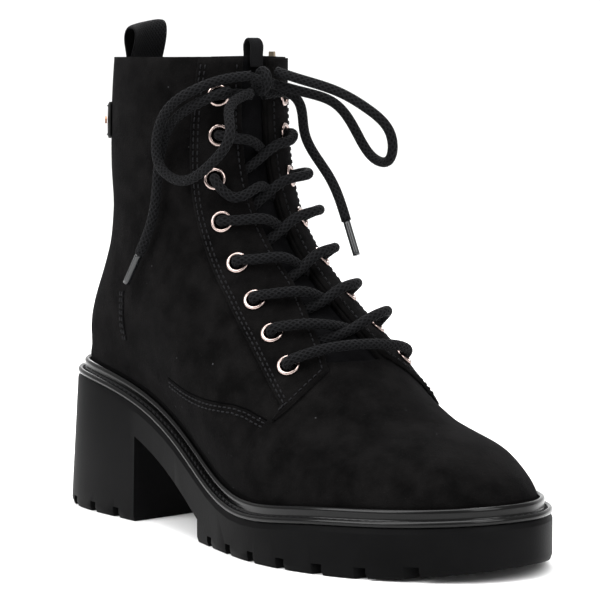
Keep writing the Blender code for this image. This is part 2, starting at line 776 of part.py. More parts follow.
def tube(name, path, radius, finish, sides=8):
    """A round cord along a path, with flat ends. The ring's frame is carried along the path
    without twist."""
    path = np.asarray(path, float)
    ahead = np.gradient(path, axis=0)
    ahead /= np.linalg.norm(ahead, axis=1, keepdims=True)
    first = np.cross(ahead[0], (0.0, 0.0, 1.0))
    if np.linalg.norm(first) < 0.1:
        first = np.cross(ahead[0], (1.0, 0.0, 0.0))
    points, faces = [], []
    for i in range(len(path)):
        first = first - ahead[i] * (first @ ahead[i])
        first /= np.linalg.norm(first)
        second = np.cross(ahead[i], first)
        for k in range(sides):
            turn = 2 * math.pi * k / sides
            points.append(path[i] + radius * (math.cos(turn) * first + math.sin(turn) * second))
    for i in range(len(path) - 1):
        for k in range(sides):
            m = (k + 1) % sides
            a = i * sides
            faces.append((a + k, a + m, a + sides + m, a + sides + k))
    last = (len(path) - 1) * sides
    faces.append(tuple(range(sides)))
    faces.append(tuple(range(last + sides - 1, last - 1, -1)))
    return new_object(name, world(points), faces, finish)


def smooth_path(points, count):
    """A smooth curve through hand-chosen points, read at even steps of its length."""
    points = np.asarray(points, float)
    along = np.concatenate([[0], np.cumsum(np.linalg.norm(np.diff(points, axis=0), axis=1))])
    fine = np.linspace(0, along[-1], 200)
    curve = np.stack([natural_spline(fine, along, points[:, k]) for k in range(3)], -1)
    length = np.concatenate([[0], np.cumsum(np.linalg.norm(np.diff(curve, axis=0), axis=1))])
    even = np.linspace(0, length[-1], count)
    return np.stack([np.interp(even, length, curve[:, k]) for k in range(3)], -1)


def on_last(station, across, over):
    """A place at a height over the last."""
    stations = np.array([station])
    places = np.array([[across]])
    return (surface(stations, places) + surface_normals(stations, places) * over)[0, 0]


LACE_OVER = FACING_TOP + EYELET_HEIGHT + LACE_RADIUS + FIT
LACE_IN_THROAT = LACE_RADIUS + 2 * FIT - UPPER_WALL - TONGUE_ROOM
# How far each medial strand stands off the facing, as a share of the bight's height
BIGHTS = (0.0, 0.2, 1.0, 1.0, 0.7, 0.5, 0.8, 0.0)
# Where each crossing comes out at the throat's edges: station on the medial edge for the strand
# that goes to the lateral eyelet, and on the lateral edge for the one to the medial eyelet
CROSSINGS = (
    (1, 1.80, 2.20),
    (2, 3.00, 3.30),
    (3, 4.05, 4.30),
    (4, 5.25, 5.45),
    (5, 6.30, 6.55),
    (6, 7.30, 7.60),
)


def make_strand(name, row, side, start):
    """One strand of the lacing: out at the opposite edge of the throat, over the tongue and
    this side's facing, and down into the eyelet."""
    station = EYELET_ROWS[row][0]
    far = EYELET_ROWS[row][1 if side < 0 else 2] * SHAFT_WIDTH
    opposite = throat_edge([start], -side)[0] - LACE_RADIUS * 0.6
    own = throat_edge([station], side)[0]
    middle, axis = eyelet_frame(row, side)
    share = own / far
    lift = BIGHT * BIGHTS[row] if side > 0 else 0.0
    points = [
        on_last(start, -side * opposite, LACE_IN_THROAT),
        on_last(start + (station - start) * 0.35, side * (own - opposite) * 0.4, LACE_IN_THROAT + LACE_RADIUS * 0.7),
        on_last(start + (station - start) * 0.7, side * own * 1.08, LACE_OVER + lift * 0.35),
        on_last(station + (start - station) * 0.2, side * (far - EYELET_RADIUS * 1.05), LACE_OVER + FIT + lift),
        middle + axis * (LACE_RADIUS * 1.15 + lift * 0.8) - (0.0, side * EYELET_HOLE * 0.10, 0.0),
        middle - axis * FACING_TOP,
    ]
    return tube(name, smooth_path(points, 12), LACE_RADIUS, LACE, sides=6)


def make_bar():
    """The lowest strand, straight across from one eyelet to the other."""
    row = len(EYELET_ROWS) - 1
    station, lateral, medial = EYELET_ROWS[row]
    left, left_axis = eyelet_frame(row, -1)
    right, right_axis = eyelet_frame(row, 1)
    points = [
        left - left_axis * FACING_TOP,
        left + left_axis * LACE_RADIUS * 1.15,
        on_last(station - 0.1, -lateral * SHAFT_WIDTH + EYELET_RADIUS * 1.1, LACE_OVER + FIT),
        on_last(station - 0.3, -throat_edge([station], -1)[0], LACE_OVER),
        on_last(station - 0.3, THROAT_MEDIAL, LACE_OVER),
        on_last(station - 0.1, medial * SHAFT_WIDTH - EYELET_RADIUS * 1.1, LACE_OVER + FIT),
        right + right_axis * LACE_RADIUS * 1.15,
        right - right_axis * FACING_TOP,
    ]
    return tube("lace_bar", smooth_path(points, 20), LACE_RADIUS, LACE, sides=6)


def make_lacing():
    """The crossings over the throat, each two strands joined, numbered like their eyelets."""
    for row, from_medial, from_lateral in CROSSINGS:
        crossing = make_strand(f"lace_crossing_{row + 1}", row, -1, from_medial)
        over = make_strand(f"lace_over_{row + 1}", row, 1, from_lateral)
        cut(crossing, [over], "UNION")
    make_bar()


# Collar, loops and trim


def dip_cutter():
    """The wedge that lowers the collar's front corner on the medial side, from the zip to the
    throat."""
    low = COLLAR_HEIGHT - COLLAR_DIP
    profile = (
        # forward, height
        (COLLAR_DIP_START, COLLAR_HEIGHT + FIT),
        (ZIP_PLACE - SLIDER_WIDTH / 2, COLLAR_HEIGHT - COLLAR_DIP * 0.66),
        (SOLE_LENGTH / 2, low),
        (SOLE_LENGTH / 2, COLLAR_HEIGHT + COLLAR_DIP),
        (COLLAR_DIP_START, COLLAR_HEIGHT + COLLAR_DIP),
    )
    points = [(s, side, z) for side in (THROAT_MEDIAL * 0.6, SHAFT_WIDTH) for s, z in profile]
    count = len(profile)
    faces = [tuple(range(count)), tuple(range(2 * count - 1, count - 1, -1))]
    for i in range(count):
        j = (i + 1) % count
        faces.append((i, i + count, j + count, j))
    cutter = new_object("collar_dip_cutter", world(points), faces, SUEDE)
    BOOT.objects.unlink(cutter)
    CUTTERS.objects.link(cutter)
    cutter.hide_render = True
    cutter.display_type = "WIRE"
    return cutter


def strap(name, path, width, thickness, finish, place, slant=0.0, columns=5):
    """A band bent along a path of (depth, height) and as wide as told. place(depth, share, high)
    puts it on the boot, with share from -1 at its lateral to +1 at its medial edge."""
    path = np.asarray(path, float)
    ahead = np.gradient(path, axis=0)
    ahead /= np.linalg.norm(ahead, axis=1, keepdims=True)
    aside = np.stack([-ahead[:, 1], ahead[:, 0]], -1)
    skins = []
    for half in (thickness / 2, -thickness / 2):
        line = path + aside * half
        grid = []
        for depth, high in line:
            rise = slant * max(0.0, min(1.0, (high - COLLAR_HEIGHT) / LOOP_HEIGHT))
            grid.append([place(depth, share, high + rise * share) for share in np.linspace(-1, 1, columns)])
        skins.append(np.array(grid))
    return loft_grid(name, skins[0], skins[1], finish)


def make_pull_loop():
    """The webbing loop at the back: both legs inside the collar, curved like its wall."""
    back, front = rib_points(np.array([0.0]), -1)[0][[-1, 0], 0]
    length = (front - back) / 2 - UPPER_WALL
    half = SHAFT_WIDTH / 2 - UPPER_WALL - LOOP_THICKNESS

    def place(depth, share, high):
        medial = share * LOOP_WIDTH / 2 + LOOP_OFFSET
        curve = length * (1 - math.sqrt(1 - (medial / half) ** 2))
        return (back + UPPER_WALL + depth + curve, medial, high)

    thick = LOOP_THICKNESS
    near = thick * 0.5 + 2 * FIT
    top = COLLAR_HEIGHT + LOOP_HEIGHT
    path = (
        # depth inside the wall, height
        (near, COLLAR_HEIGHT - LOOP_DEPTH),
        (near, COLLAR_HEIGHT),
        (near - thick * 0.7, COLLAR_HEIGHT + LOOP_HEIGHT * 0.35),
        (near - thick * 1.0, COLLAR_HEIGHT + LOOP_HEIGHT * 0.70),
        (near + thick * 0.3, top - thick * 0.5),
        (near + thick * 2.2, top),
        (near + thick * 3.9, top - thick * 0.9),
        (near + thick * 4.3, COLLAR_HEIGHT + LOOP_HEIGHT * 0.66),
        (near + thick * 3.2, COLLAR_HEIGHT + LOOP_HEIGHT * 0.25),
        (near + thick * 1.9, COLLAR_HEIGHT - thick),
        (near + thick * 1.6, COLLAR_HEIGHT - LOOP_DEPTH),
    )
    return strap("pull_loop", path, LOOP_WIDTH, thick, WEBBING, place, LOOP_SLANT)


def make_tongue_tab():
    """The narrow folded band that stands on the tongue's top edge."""
    under = UPPER_WALL + TONGUE_ROOM
    middle = (THROAT_MEDIAL - THROAT_LATERAL) / 2 + TAB_WIDTH * 0.2

    def place(depth, share, high):
        return on_last(0.0, middle + share * TAB_WIDTH / 2, depth) * (1, 1, 0) + (0, 0, high)

    outside = -under + 3 * FIT + TAB_THICKNESS / 2
    inside = -under - TONGUE_THICKNESS - 3 * FIT - TAB_THICKNESS / 2
    top = COLLAR_HEIGHT + TAB_HEIGHT
    path = (
        # height over the last, height
        (inside, COLLAR_HEIGHT - TAB_DEPTH),
        (inside, COLLAR_HEIGHT + TAB_HEIGHT * 0.3),
        (inside + TAB_THICKNESS * 0.1, COLLAR_HEIGHT + TAB_HEIGHT * 0.75),
        ((outside + inside) / 2, top),
        (outside - TAB_THICKNESS * 0.1, COLLAR_HEIGHT + TAB_HEIGHT * 0.75),
        (outside, COLLAR_HEIGHT + TAB_HEIGHT * 0.3),
        (outside, COLLAR_HEIGHT - TAB_DEPTH * 0.6),
    )
    return strap("tongue_tab", path, TAB_WIDTH, TAB_THICKNESS, WEBBING, place, columns=3)


def make_back_tag():
    """The plain patch round the back of the shaft, with a stud at each end."""
    stations = np.linspace(0.80, 1.45, 4)
    half = TAG_WIDTH / 2
    share = np.linspace(-1, 0, 7)
    lateral = -rib_reach(stations, -1)[:, None] - half * share[None, :]
    medial = rib_reach(stations, 1)[:, None] - half * np.linspace(1 / 6, 1, 6)[None, :]
    across = np.concatenate([lateral, medial], 1)
    low, high = FIT, FIT + TAG_THICKNESS
    tag = layer("back_tag", stations, across, low, high, TAG_LEATHER)
    middle = np.array([1.12])
    for side, word in ((-1, "lateral"), (1, "medial")):
        where = side * (rib_reach(middle, side)[0] - TAG_WIDTH * 0.44)
        place = on_last(middle[0], where, high + FIT)
        axis = surface_normals(middle, np.array([[where]]))[0, 0]
        rod(f"stud_{word}", place, axis, STUD_RADIUS, 0.0, STUD_RADIUS * 0.5, COPPER, segments=8)
    return tag


def knot_place():
    """The middle of the knot, in front of the throat's top."""
    return on_last(0.42, -THROAT_LATERAL * 0.45, FACING_TOP + KNOT_RADIUS + FIT)


def make_knot():
    """The tight knot: an oval body a little wider than it is high."""
    middle = knot_place()
    points, faces = [], []
    rings, sides = 6, 8
    for i in range(1, rings):
        turn = math.pi * i / rings
        for k in range(sides):
            angle = 2 * math.pi * k / sides
            around = KNOT_RADIUS * math.sin(turn)
            offset = (around * math.cos(angle) * 0.85, -KNOT_RADIUS * 1.35 * math.cos(turn), around * math.sin(angle))
            points.append(middle + offset)
    points.append(middle - (0.0, KNOT_RADIUS * 1.35, 0.0))
    points.append(middle + (0.0, KNOT_RADIUS * 1.35, 0.0))
    count = (rings - 1) * sides
    for k in range(sides):
        m = (k + 1) % sides
        faces.append((count, k, m))
        faces.append((count + 1, count - sides + m, count - sides + k))
        for i in range(rings - 2):
            a = i * sides
            faces.append((a + k, a + sides + k, a + sides + m, a + m))
    return new_object("lace_knot", world(points), faces, LACE)


def make_bow():
    """Both loops and both ends of the bow, hanging free of the boot, with their aglets."""
    knot = knot_place()
    # Offsets from the knot as shares of the bow's length: forward, medial, up
    left_loop = (
        (0.043, -0.150, 0.050),
        (-0.085, -0.352, 0.020),
        (-0.198, -0.602, -0.070),
        (-0.408, -0.716, -0.208),
        (-0.589, -0.739, -0.449),
        (-0.591, -0.739, -0.744),
        (-0.324, -0.727, -0.901),
        (0.085, -0.693, -0.761),
        (0.300, -0.625, -0.495),
        (0.110, -0.466, -0.240),
        (0.027, -0.145, -0.105),
    )
    right_loop = (
        (0.020, 0.150, -0.030),
        (0.217, 0.330, -0.102),
        (0.390, 0.534, -0.194),
        (0.481, 0.739, -0.463),
        (0.605, 0.852, -0.712),
        (0.796, 0.852, -0.734),
        (0.909, 0.784, -0.491),
        (0.795, 0.602, -0.253),
        (0.601, 0.420, -0.099),
        (0.320, 0.230, 0.010),
        (0.060, 0.140, 0.085),
    )
    # Offsets from the knot as shares of the ends' length
    left_end = (
        (-0.045, -0.195, -0.052),
        (-0.058, -0.262, -0.072),
        (-0.147, -0.347, -0.127),
        (-0.357, -0.380, -0.265),
        (-0.441, -0.382, -0.447),
        (-0.476, -0.389, -0.704),
        (-0.529, -0.392, -0.849),
        (-0.614, -0.395, -0.986),
    )
    right_end = (
        (0.014, 0.190, -0.062),
        (0.036, 0.230, -0.100),
        (0.005, 0.320, -0.298),
        (0.120, 0.405, -0.545),
        (0.250, 0.420, -0.790),
    )
    for word, points, size, count in (
        ("loop_left", left_loop, BOW_LENGTH, 19),
        ("loop_right", right_loop, BOW_LENGTH, 18),
        ("end_left", left_end, TAIL_LENGTH, 10),
        ("end_right", right_end, TAIL_LENGTH, 9),
    ):
        path = smooth_path(knot + np.array(points) * size, count)
        tube(f"lace_{word}", path, LACE_RADIUS, LACE, sides=6)
        if word.startswith("end"):
            ahead = path[-1] - path[-2]
            ahead /= np.linalg.norm(ahead)
            name = word.replace("end", "aglet")
            rod(name, path[-1], ahead, AGLET_RADIUS, FIT, AGLET_LENGTH, AGLET, segments=8)


def make_top_strands():
    """The lace from the two top eyelets up to the knot."""
    knot = knot_place()
    for side, word in ((-1, "lateral"), (1, "medial")):
        middle, axis = eyelet_frame(0, side)
        far = EYELET_ROWS[0][1 if side < 0 else 2] * SHAFT_WIDTH
        points = [
            middle - axis * FACING_TOP,
            middle + axis * LACE_RADIUS * 1.15 - (0.0, side * EYELET_HOLE * 0.10, 0.0),
            on_last(0.66, side * (far - EYELET_RADIUS * 1.1), LACE_OVER - FIT),
            knot + (-KNOT_RADIUS * 0.5, side * KNOT_RADIUS * 0.62, -KNOT_RADIUS * 1.27),
        ]
        tube(f"lace_{word}_1", smooth_path(points, 7), LACE_RADIUS * 0.9, LACE, sides=6)


# Zip


def across_at(stations, forward, side):
    """Distance from the ridge at which each station's rib passes a place along the boot."""
    ribs = rib_points(np.asarray(stations, float), side)
    lengths = rib_lengths(ribs)
    return np.array([np.interp(-forward, -ribs[i, :, 0], lengths[i]) for i in range(len(ribs))])


def make_zip():
    """The medial zip: its closed chain as one strip on the upper, the slider at the top, and
    the pull tab that stands up from it."""
    stations = np.linspace(0.55, ZIP_END, 14)
    middle = across_at(stations, ZIP_PLACE, 1)[:, None]
    across = middle + ZIP_WIDTH / 2 * np.linspace(-1, 1, 3)[None, :]
    low, high = FIT, FIT + ZIP_THICKNESS
    layer("zip_chain", stations, across, low, high, ZIP_TAPE)
    top = on_last(0.0, across_at([0.0], ZIP_PLACE, 1)[0], high + FIT)
    slider_top = COLLAR_HEIGHT - COLLAR_DIP * 0.66 - FIT
    low_place = on_last(0.75, across_at([0.75], ZIP_PLACE, 1)[0], high + FIT)
    inner = max(top[1], low_place[1]) + FIT
    slider = block("zip_slider", ZIP_PLACE, SLIDER_WIDTH, inner, SLIDER_THICKNESS,
                   slider_top - SLIDER_LENGTH, SLIDER_LENGTH, BRASS)
    pull_in = inner + SLIDER_THICKNESS + FIT
    foot = slider_top - SLIDER_LENGTH * 0.35
    pull = block("zip_pull", ZIP_PLACE, PULL_WIDTH, pull_in, PULL_THICKNESS, foot, PULL_LENGTH, BRASS)
    for vertex in pull.data.vertices:
        if vertex.co.z > foot + PULL_LENGTH / 2:
            centre = SOLE_LENGTH / 2 - ZIP_PLACE
            vertex.co.y = centre + (vertex.co.y - centre) * 0.55
    hole = np.array([ZIP_PLACE, pull_in + PULL_THICKNESS / 2, foot + PULL_HOLE * 2.2])
    drill = rod("pull_hole", hole, np.array([0.0, 1.0, 0.0]), PULL_HOLE, -PULL_WIDTH, PULL_WIDTH, BRASS)
    BOOT.objects.unlink(drill)
    CUTTERS.objects.link(drill)
    drill.hide_render = True
    drill.display_type = "WIRE"
    cut(pull, [drill], "DIFFERENCE")


def block(name, forward, wide, medial, deep, low, high, finish):
    """A plain block: centred on a place along the boot, from a medial place outwards, and up
    from a height."""
    points = []
    for up in (low, low + high):
        for y in (medial, medial + deep):
            points += [(forward - wide / 2, y, up), (forward + wide / 2, y, up)]
    faces = [(0, 1, 3, 2), (4, 6, 7, 5), (0, 4, 5, 1), (2, 3, 7, 6), (0, 2, 6, 4), (1, 5, 7, 3)]
    return new_object(name, world(points), faces, finish)


for leftover in list(bpy.data.objects):
    bpy.data.objects.remove(leftover)
BOOT = bpy.data.collections.new("biker_boot")
CUTTERS = bpy.data.collections.new("cutters")
bpy.context.scene.collection.children.link(BOOT)
bpy.context.scene.collection.children.link(CUTTERS)
RUBBER = material("rubber", (0.016, 0.016, 0.017), 0.55)
RAND = material("rand", (0.010, 0.010, 0.011), 0.12)
SOCK = material("sock", (0.030, 0.028, 0.026), 0.85)
SUEDE = material("suede", (0.013, 0.013, 0.015), 0.90)
TONGUE_CLOTH = material("tongue_cloth", (0.016, 0.016, 0.018), 0.85)
METAL = material("nickel", (0.55, 0.55, 0.55), 0.25, 1.0)
LACE = material("lace", (0.022, 0.022, 0.024), 0.85)
make_outsole()
make_welt()
make_insole()
WEBBING = material("webbing", (0.020, 0.020, 0.022), 0.9)
TAG_LEATHER = material("tag_leather", (0.012, 0.012, 0.013), 0.6)
COPPER = material("copper_stud", (0.35, 0.20, 0.13), 0.35, 1.0)
BRASS = material("antique_brass", (0.42, 0.36, 0.28), 0.35, 1.0)
ZIP_TAPE = material("zip_tape", (0.014, 0.014, 0.015), 0.8)
AGLET = material("aglet", (0.03, 0.03, 0.032), 0.25)
UPPER = make_upper()
TONGUE = make_tongue()
FACINGS = {-1: make_facing("facing_lateral", -1), 1: make_facing("facing_medial", 1)}
for PIECE in (UPPER, TONGUE, FACINGS[1]):
    cut(PIECE, [dip_cutter()])
make_eyelets(UPPER, FACINGS)
make_lacing()
make_top_strands()
make_knot()
make_bow()
make_pull_loop()
make_tongue_tab()
make_back_tag()
make_zip()
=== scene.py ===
import math

import bmesh
import bpy
import numpy as np
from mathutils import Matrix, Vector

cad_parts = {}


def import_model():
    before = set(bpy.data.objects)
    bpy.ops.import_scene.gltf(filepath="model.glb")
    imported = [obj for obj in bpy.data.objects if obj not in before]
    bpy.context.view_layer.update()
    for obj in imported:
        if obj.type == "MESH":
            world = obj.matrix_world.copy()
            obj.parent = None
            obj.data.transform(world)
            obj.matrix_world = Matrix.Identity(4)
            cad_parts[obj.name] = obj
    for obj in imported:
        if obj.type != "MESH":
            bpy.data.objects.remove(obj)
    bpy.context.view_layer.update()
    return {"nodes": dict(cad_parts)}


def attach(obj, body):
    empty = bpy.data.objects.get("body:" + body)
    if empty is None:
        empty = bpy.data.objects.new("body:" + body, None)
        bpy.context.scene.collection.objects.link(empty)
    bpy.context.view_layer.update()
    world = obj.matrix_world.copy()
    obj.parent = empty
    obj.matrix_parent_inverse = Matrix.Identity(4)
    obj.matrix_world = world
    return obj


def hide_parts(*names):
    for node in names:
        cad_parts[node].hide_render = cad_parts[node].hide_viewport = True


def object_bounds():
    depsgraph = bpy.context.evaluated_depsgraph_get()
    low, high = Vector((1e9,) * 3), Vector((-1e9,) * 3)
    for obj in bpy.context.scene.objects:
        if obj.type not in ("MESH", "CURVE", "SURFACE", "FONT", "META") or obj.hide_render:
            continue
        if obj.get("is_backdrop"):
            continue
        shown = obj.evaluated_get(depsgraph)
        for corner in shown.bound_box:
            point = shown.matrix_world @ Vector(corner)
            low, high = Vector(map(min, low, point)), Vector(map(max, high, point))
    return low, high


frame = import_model()

# The camera: at the photograph's angle to the boot, level with its collar
lens = bpy.data.cameras.new("camera")
lens.lens = 158.25
lens.sensor_width = 36.0
lens.clip_end = 20.0
camera = bpy.data.objects.new("camera", lens)
bpy.context.scene.collection.objects.link(camera)
CAMERA_TARGET = np.array([0.00369, -0.00498, 0.09598])
CAMERA_TURN = math.radians(40.95)
CAMERA_RISE = math.radians(5.27)
CAMERA_AWAY = 1.06765
towards = np.array([
    -math.sin(CAMERA_TURN) * math.cos(CAMERA_RISE),
    -math.cos(CAMERA_TURN) * math.cos(CAMERA_RISE),
    math.sin(CAMERA_RISE),
])
camera.location = CAMERA_TARGET + towards * CAMERA_AWAY
camera.rotation_euler = (math.pi / 2 - CAMERA_RISE, 0.0, -CAMERA_TURN)
bpy.context.scene.camera = camera


# The last: the form that the boot is pulled over. Every piece of it is laid out by its
# station down the last and its distance across from the ridge of the instep. The same sizes
# and tables shape the solids.

SOLE_LENGTH = 0.264
HEEL_WIDTH = 0.067
BALL_WIDTH = 0.102
HEEL_HEIGHT = 0.057
PLATFORM = 0.0165
TOE_SPRING = 0.0054
HEEL_FLARE = 0.0030
WELT_HEIGHT = 0.0068
WELT_WIDTH = 0.0052
FIT = 0.0003
HEM = WELT_HEIGHT + 0.0006
HEM_GAP = 0.0007
COLLAR_HEIGHT = 0.194
SHAFT_WIDTH = 0.062
UPPER_WALL = 0.0020
TONGUE_ROOM = 0.0008
THROAT_LATERAL = 0.0085
THROAT_MEDIAL = 0.0038
THROAT_SPREAD_LATERAL = 0.0150
THROAT_SPREAD_MEDIAL = 0.0015
THROAT_STRAIGHT = 5.7
THROAT_END = 8.9
FACING_THICKNESS = 0.0015
FACING_TOP = FACING_THICKNESS + FIT
EYELET_HEIGHT = 0.0011
LACE_RADIUS = 0.0021
KNOT_RADIUS = 0.0046

# The sole's outline: how far along the sole, then the half widths to the lateral and the medial
# side as shares of the size named last
SOLE_OUTLINE = (
    (0.000, 0.000, 0.000, HEEL_WIDTH),
    (0.030, 0.300, 0.300, HEEL_WIDTH),
    (0.090, 0.430, 0.440, HEEL_WIDTH),
    (0.180, 0.480, 0.500, HEEL_WIDTH),
    (0.300, 0.505, 0.470, HEEL_WIDTH),
    (0.420, 0.385, 0.280, BALL_WIDTH),
    (0.540, 0.475, 0.335, BALL_WIDTH),
    (0.660, 0.537, 0.430, BALL_WIDTH),
    (0.760, 0.513, 0.466, BALL_WIDTH),
    (0.860, 0.421, 0.423, BALL_WIDTH),
    (0.940, 0.281, 0.310, BALL_WIDTH),
    (0.985, 0.137, 0.167, BALL_WIDTH),
    (1.000, -0.039, 0.039, BALL_WIDTH),
)

# The sole's upper face: how far along, the share of the heel's rise over the platform, and the
# share of the toe spring
SOLE_TOP = (
    (0.00, 1.020, 0.00),
    (0.08, 0.995, 0.00),
    (0.15, 0.945, 0.00),
    (0.28, 0.745, 0.00),
    (0.38, 0.480, 0.00),
    (0.48, 0.175, 0.00),
    (0.58, 0.000, 0.00),
    (0.75, 0.000, 0.33),
    (0.90, 0.000, 0.66),
    (1.00, 0.000, 1.00),
)

# The last, as loops that each run from the ridge round one side to the back, from the collar
# down to the last's lower edge. Along is a share of the sole's length, and height one of the rise
# from the last's lower edge to the collar. Foot share is how far the loop takes the sole's
# outline in place of the shaft's oval, and sag how far it follows the sole's rise and fall. Full
# widens the loop: a share of the shaft's width
LAST_ROWS = (
    # ridge along, ridge high, ridge medial, back along, back high, oval, foot share, sag, full
    (0.4400, 1.000, -0.050, 0.1240, 1.000, 0.990, 0.000, 0.00, 0.000),
    (0.4356, 0.867, -0.050, 0.1170, 0.814, 1.010, 0.000, 0.00, 0.000),
    (0.4430, 0.746, -0.048, 0.1165, 0.644, 1.010, 0.000, 0.00, 0.000),
    (0.4568, 0.665, -0.044, 0.1175, 0.534, 1.000, 0.000, 0.00, 0.000),
    (0.4810, 0.583, -0.036, 0.1080, 0.411, 1.000, 0.030, 0.00, 0.000),
    (0.5170, 0.502, -0.024, 0.0890, 0.302, 1.030, 0.100, 0.02, 0.010),
    (0.5568, 0.436, -0.010, 0.0710, 0.226, 1.050, 0.200, 0.06, 0.020),
    (0.6023, 0.371, 0.010, 0.0590, 0.170, 1.060, 0.320, 0.12, 0.030),
    (0.6534, 0.307, 0.030, 0.0515, 0.125, 1.060, 0.450, 0.20, 0.036),
    (0.7045, 0.241, 0.045, 0.0470, 0.090, 1.050, 0.550, 0.30, 0.034),
    (0.7614, 0.173, 0.055, 0.0440, 0.061, 1.030, 0.645, 0.41, 0.030),
    (0.8182, 0.132, 0.060, 0.0415, 0.041, 1.000, 0.740, 0.53, 0.030),
    (0.8750, 0.106, 0.060, 0.0390, 0.024, 1.000, 0.830, 0.66, 0.030),
    (0.9205, 0.079, 0.060, 0.0365, 0.012, 1.000, 0.925, 0.79, 0.029),
    (0.9527, 0.043, 0.060, 0.0343, 0.004, 1.000, 0.970, 0.90, 0.019),
    (0.9697, 0.018, 0.060, 0.0327, 0.001, 1.000, 0.992, 0.97, 0.009),
)
LAST_END = len(LAST_ROWS)


def natural_spline(x, knots, values):
    """Smooth curve through the knots: piecewise cubics with equal slopes and bends where they
    meet, and no bend at the two ends. The bends solve one band of linear equations."""
    knots = np.asarray(knots, float)
    values = np.asarray(values, float)
    gaps = np.diff(knots)
    slopes = np.diff(values) / gaps
    count = len(knots)
    matrix = np.eye(count)
    right = np.zeros(count)
    for i in range(1, count - 1):
        matrix[i, i - 1:i + 2] = gaps[i - 1], 2 * (gaps[i - 1] + gaps[i]), gaps[i]
        right[i] = 6 * (slopes[i] - slopes[i - 1])
    bends = np.linalg.solve(matrix, right)
    x = np.asarray(x, float)
    place = np.clip(np.searchsorted(knots, x) - 1, 0, count - 2)
    before = knots[place + 1] - x
    after = x - knots[place]
    gap = gaps[place]
    cubic = (bends[place] * before ** 3 + bends[place + 1] * after ** 3) / (6 * gap)
    left = (values[place] / gap - bends[place] * gap / 6) * before
    return cubic + left + (values[place + 1] / gap - bends[place + 1] * gap / 6) * after


def outline(angles, side, inset=0.0, flare=0.0):
    """Points (forward, medial) of the sole's outline on one side, side -1 for lateral and 1 for
    medial. The angle runs from 0 at the heel's back to pi at the toe's tip, and the way forward
    is the sole's length times half of one minus its cosine. Each point is then moved inwards,
    square to the outline, by the inset and by what the heel narrows above its flared foot."""
    knots = [math.acos(1 - 2 * row[0]) for row in SOLE_OUTLINE]
    widths = [row[1 if side < 0 else 2] * row[3] for row in SOLE_OUTLINE]
    angles = np.asarray(angles, float)
    step = 0.002

    def raw(angle):
        """The outline before any inset, carried on past the heel's back with its sign turned."""
        wide = natural_spline(np.abs(angle), knots, widths) * np.where(angle < 0, -1, 1)
        return np.stack([SOLE_LENGTH * (1 - np.cos(angle)) / 2, side * wide], -1)

    here = np.clip(angles, 0, math.pi - step)
    tangent = raw(here + step) - raw(here - step)
    tangent[angles > math.pi - 2 * step] = (0, -side)
    tangent[angles < step] = (0, side)
    tangent /= np.linalg.norm(tangent, axis=-1, keepdims=True)
    inward = side * np.stack([tangent[:, 1], -tangent[:, 0]], -1)
    along = (1 - np.cos(angles)) / 2
    heel_part = np.clip(1 - along / 0.42, 0, 1)
    heel_part = heel_part * heel_part * (3 - 2 * heel_part)
    return raw(angles) + inward * (inset + HEEL_FLARE * heel_part * (1 - flare))[:, None]


def sole_top(forward):
    """Height of the sole's upper face at places forward of the heel's back."""
    along = np.clip(np.asarray(forward, float) / SOLE_LENGTH, 0, 1)
    knots = [row[0] for row in SOLE_TOP]
    rise = natural_spline(along, knots, [row[1] for row in SOLE_TOP])
    spring = natural_spline(along, knots, [row[2] for row in SOLE_TOP])
    return PLATFORM + (HEEL_HEIGHT - PLATFORM) * rise + TOE_SPRING * spring


def middle_of_width():
    """How far the middle of the sole's width lies to the medial side of its long axis."""
    angles = np.linspace(0, math.pi, 181)
    lateral = outline(angles, -1, flare=1.0)[:, 1].min()
    medial = outline(angles, 1, flare=1.0)[:, 1].max()
    return (lateral + medial) / 2


MIDDLE = middle_of_width()


def world(points):
    """The boot's own frame from (forward, medial, up)."""
    points = np.asarray(points, float)
    columns = [points[..., 1] - MIDDLE, SOLE_LENGTH / 2 - points[..., 0], points[..., 2]]
    return np.stack(columns, -1)


def last_table():
    """The table above as lengths, and below its last row the last's lower edge."""
    edge = outline([0.0, math.pi], 1, WELT_WIDTH + HEM_GAP)[:, 0]
    low = sole_top(edge) + HEM
    rise = COLLAR_HEIGHT - low
    rows = []
    for row in LAST_ROWS:
        ridge = (row[0] * SOLE_LENGTH, row[2] * SHAFT_WIDTH, low[1] + row[1] * rise[1])
        back = (row[3] * SOLE_LENGTH, low[0] + row[4] * rise[0])
        rows.append((*ridge, *back, row[5] * SHAFT_WIDTH / 2, row[6], row[7], row[8] * SHAFT_WIDTH))
    rows.append((edge[1], 0.0, low[1], edge[0], low[0], SHAFT_WIDTH / 2, 1.0, 1.0, 0.0))
    return np.array(rows)


LAST = last_table()


def rib_points(stations, side, count=61):
    """Loops of the last on one side, one for each station: from the ridge round the side to the
    back. A loop is the shaft's oval, the sole's outline, or a mix of both, stretched between
    its ridge and its back point."""
    index = np.arange(len(LAST))
    stations = np.asarray(stations, float)
    row = [natural_spline(stations, index, LAST[:, c])[:, None] for c in range(LAST.shape[1])]
    ridge_along, middle, ridge_high, back_along, back_high, oval, foot, sag, full = row
    angles = np.linspace(math.pi, 0, count)
    edge = outline(angles, side, WELT_WIDTH + HEM_GAP)
    along = (edge[:, 0] - edge[-1, 0]) / (edge[0, 0] - edge[-1, 0])
    edge_high = sole_top(edge[:, 0]) + HEM
    dip = edge_high - (edge_high[-1] + (edge_high[0] - edge_high[-1]) * along)
    forward = back_along + (ridge_along - back_along) * along
    high = back_high + (ridge_high - back_high) * along + sag * dip
    round_part = np.sin(angles) ** 0.92
    shaft = middle * along ** 2 + side * oval * round_part
    across = (1 - foot) * shaft + foot * edge[:, 1] + side * full * round_part
    return np.stack([forward, across, high], -1)


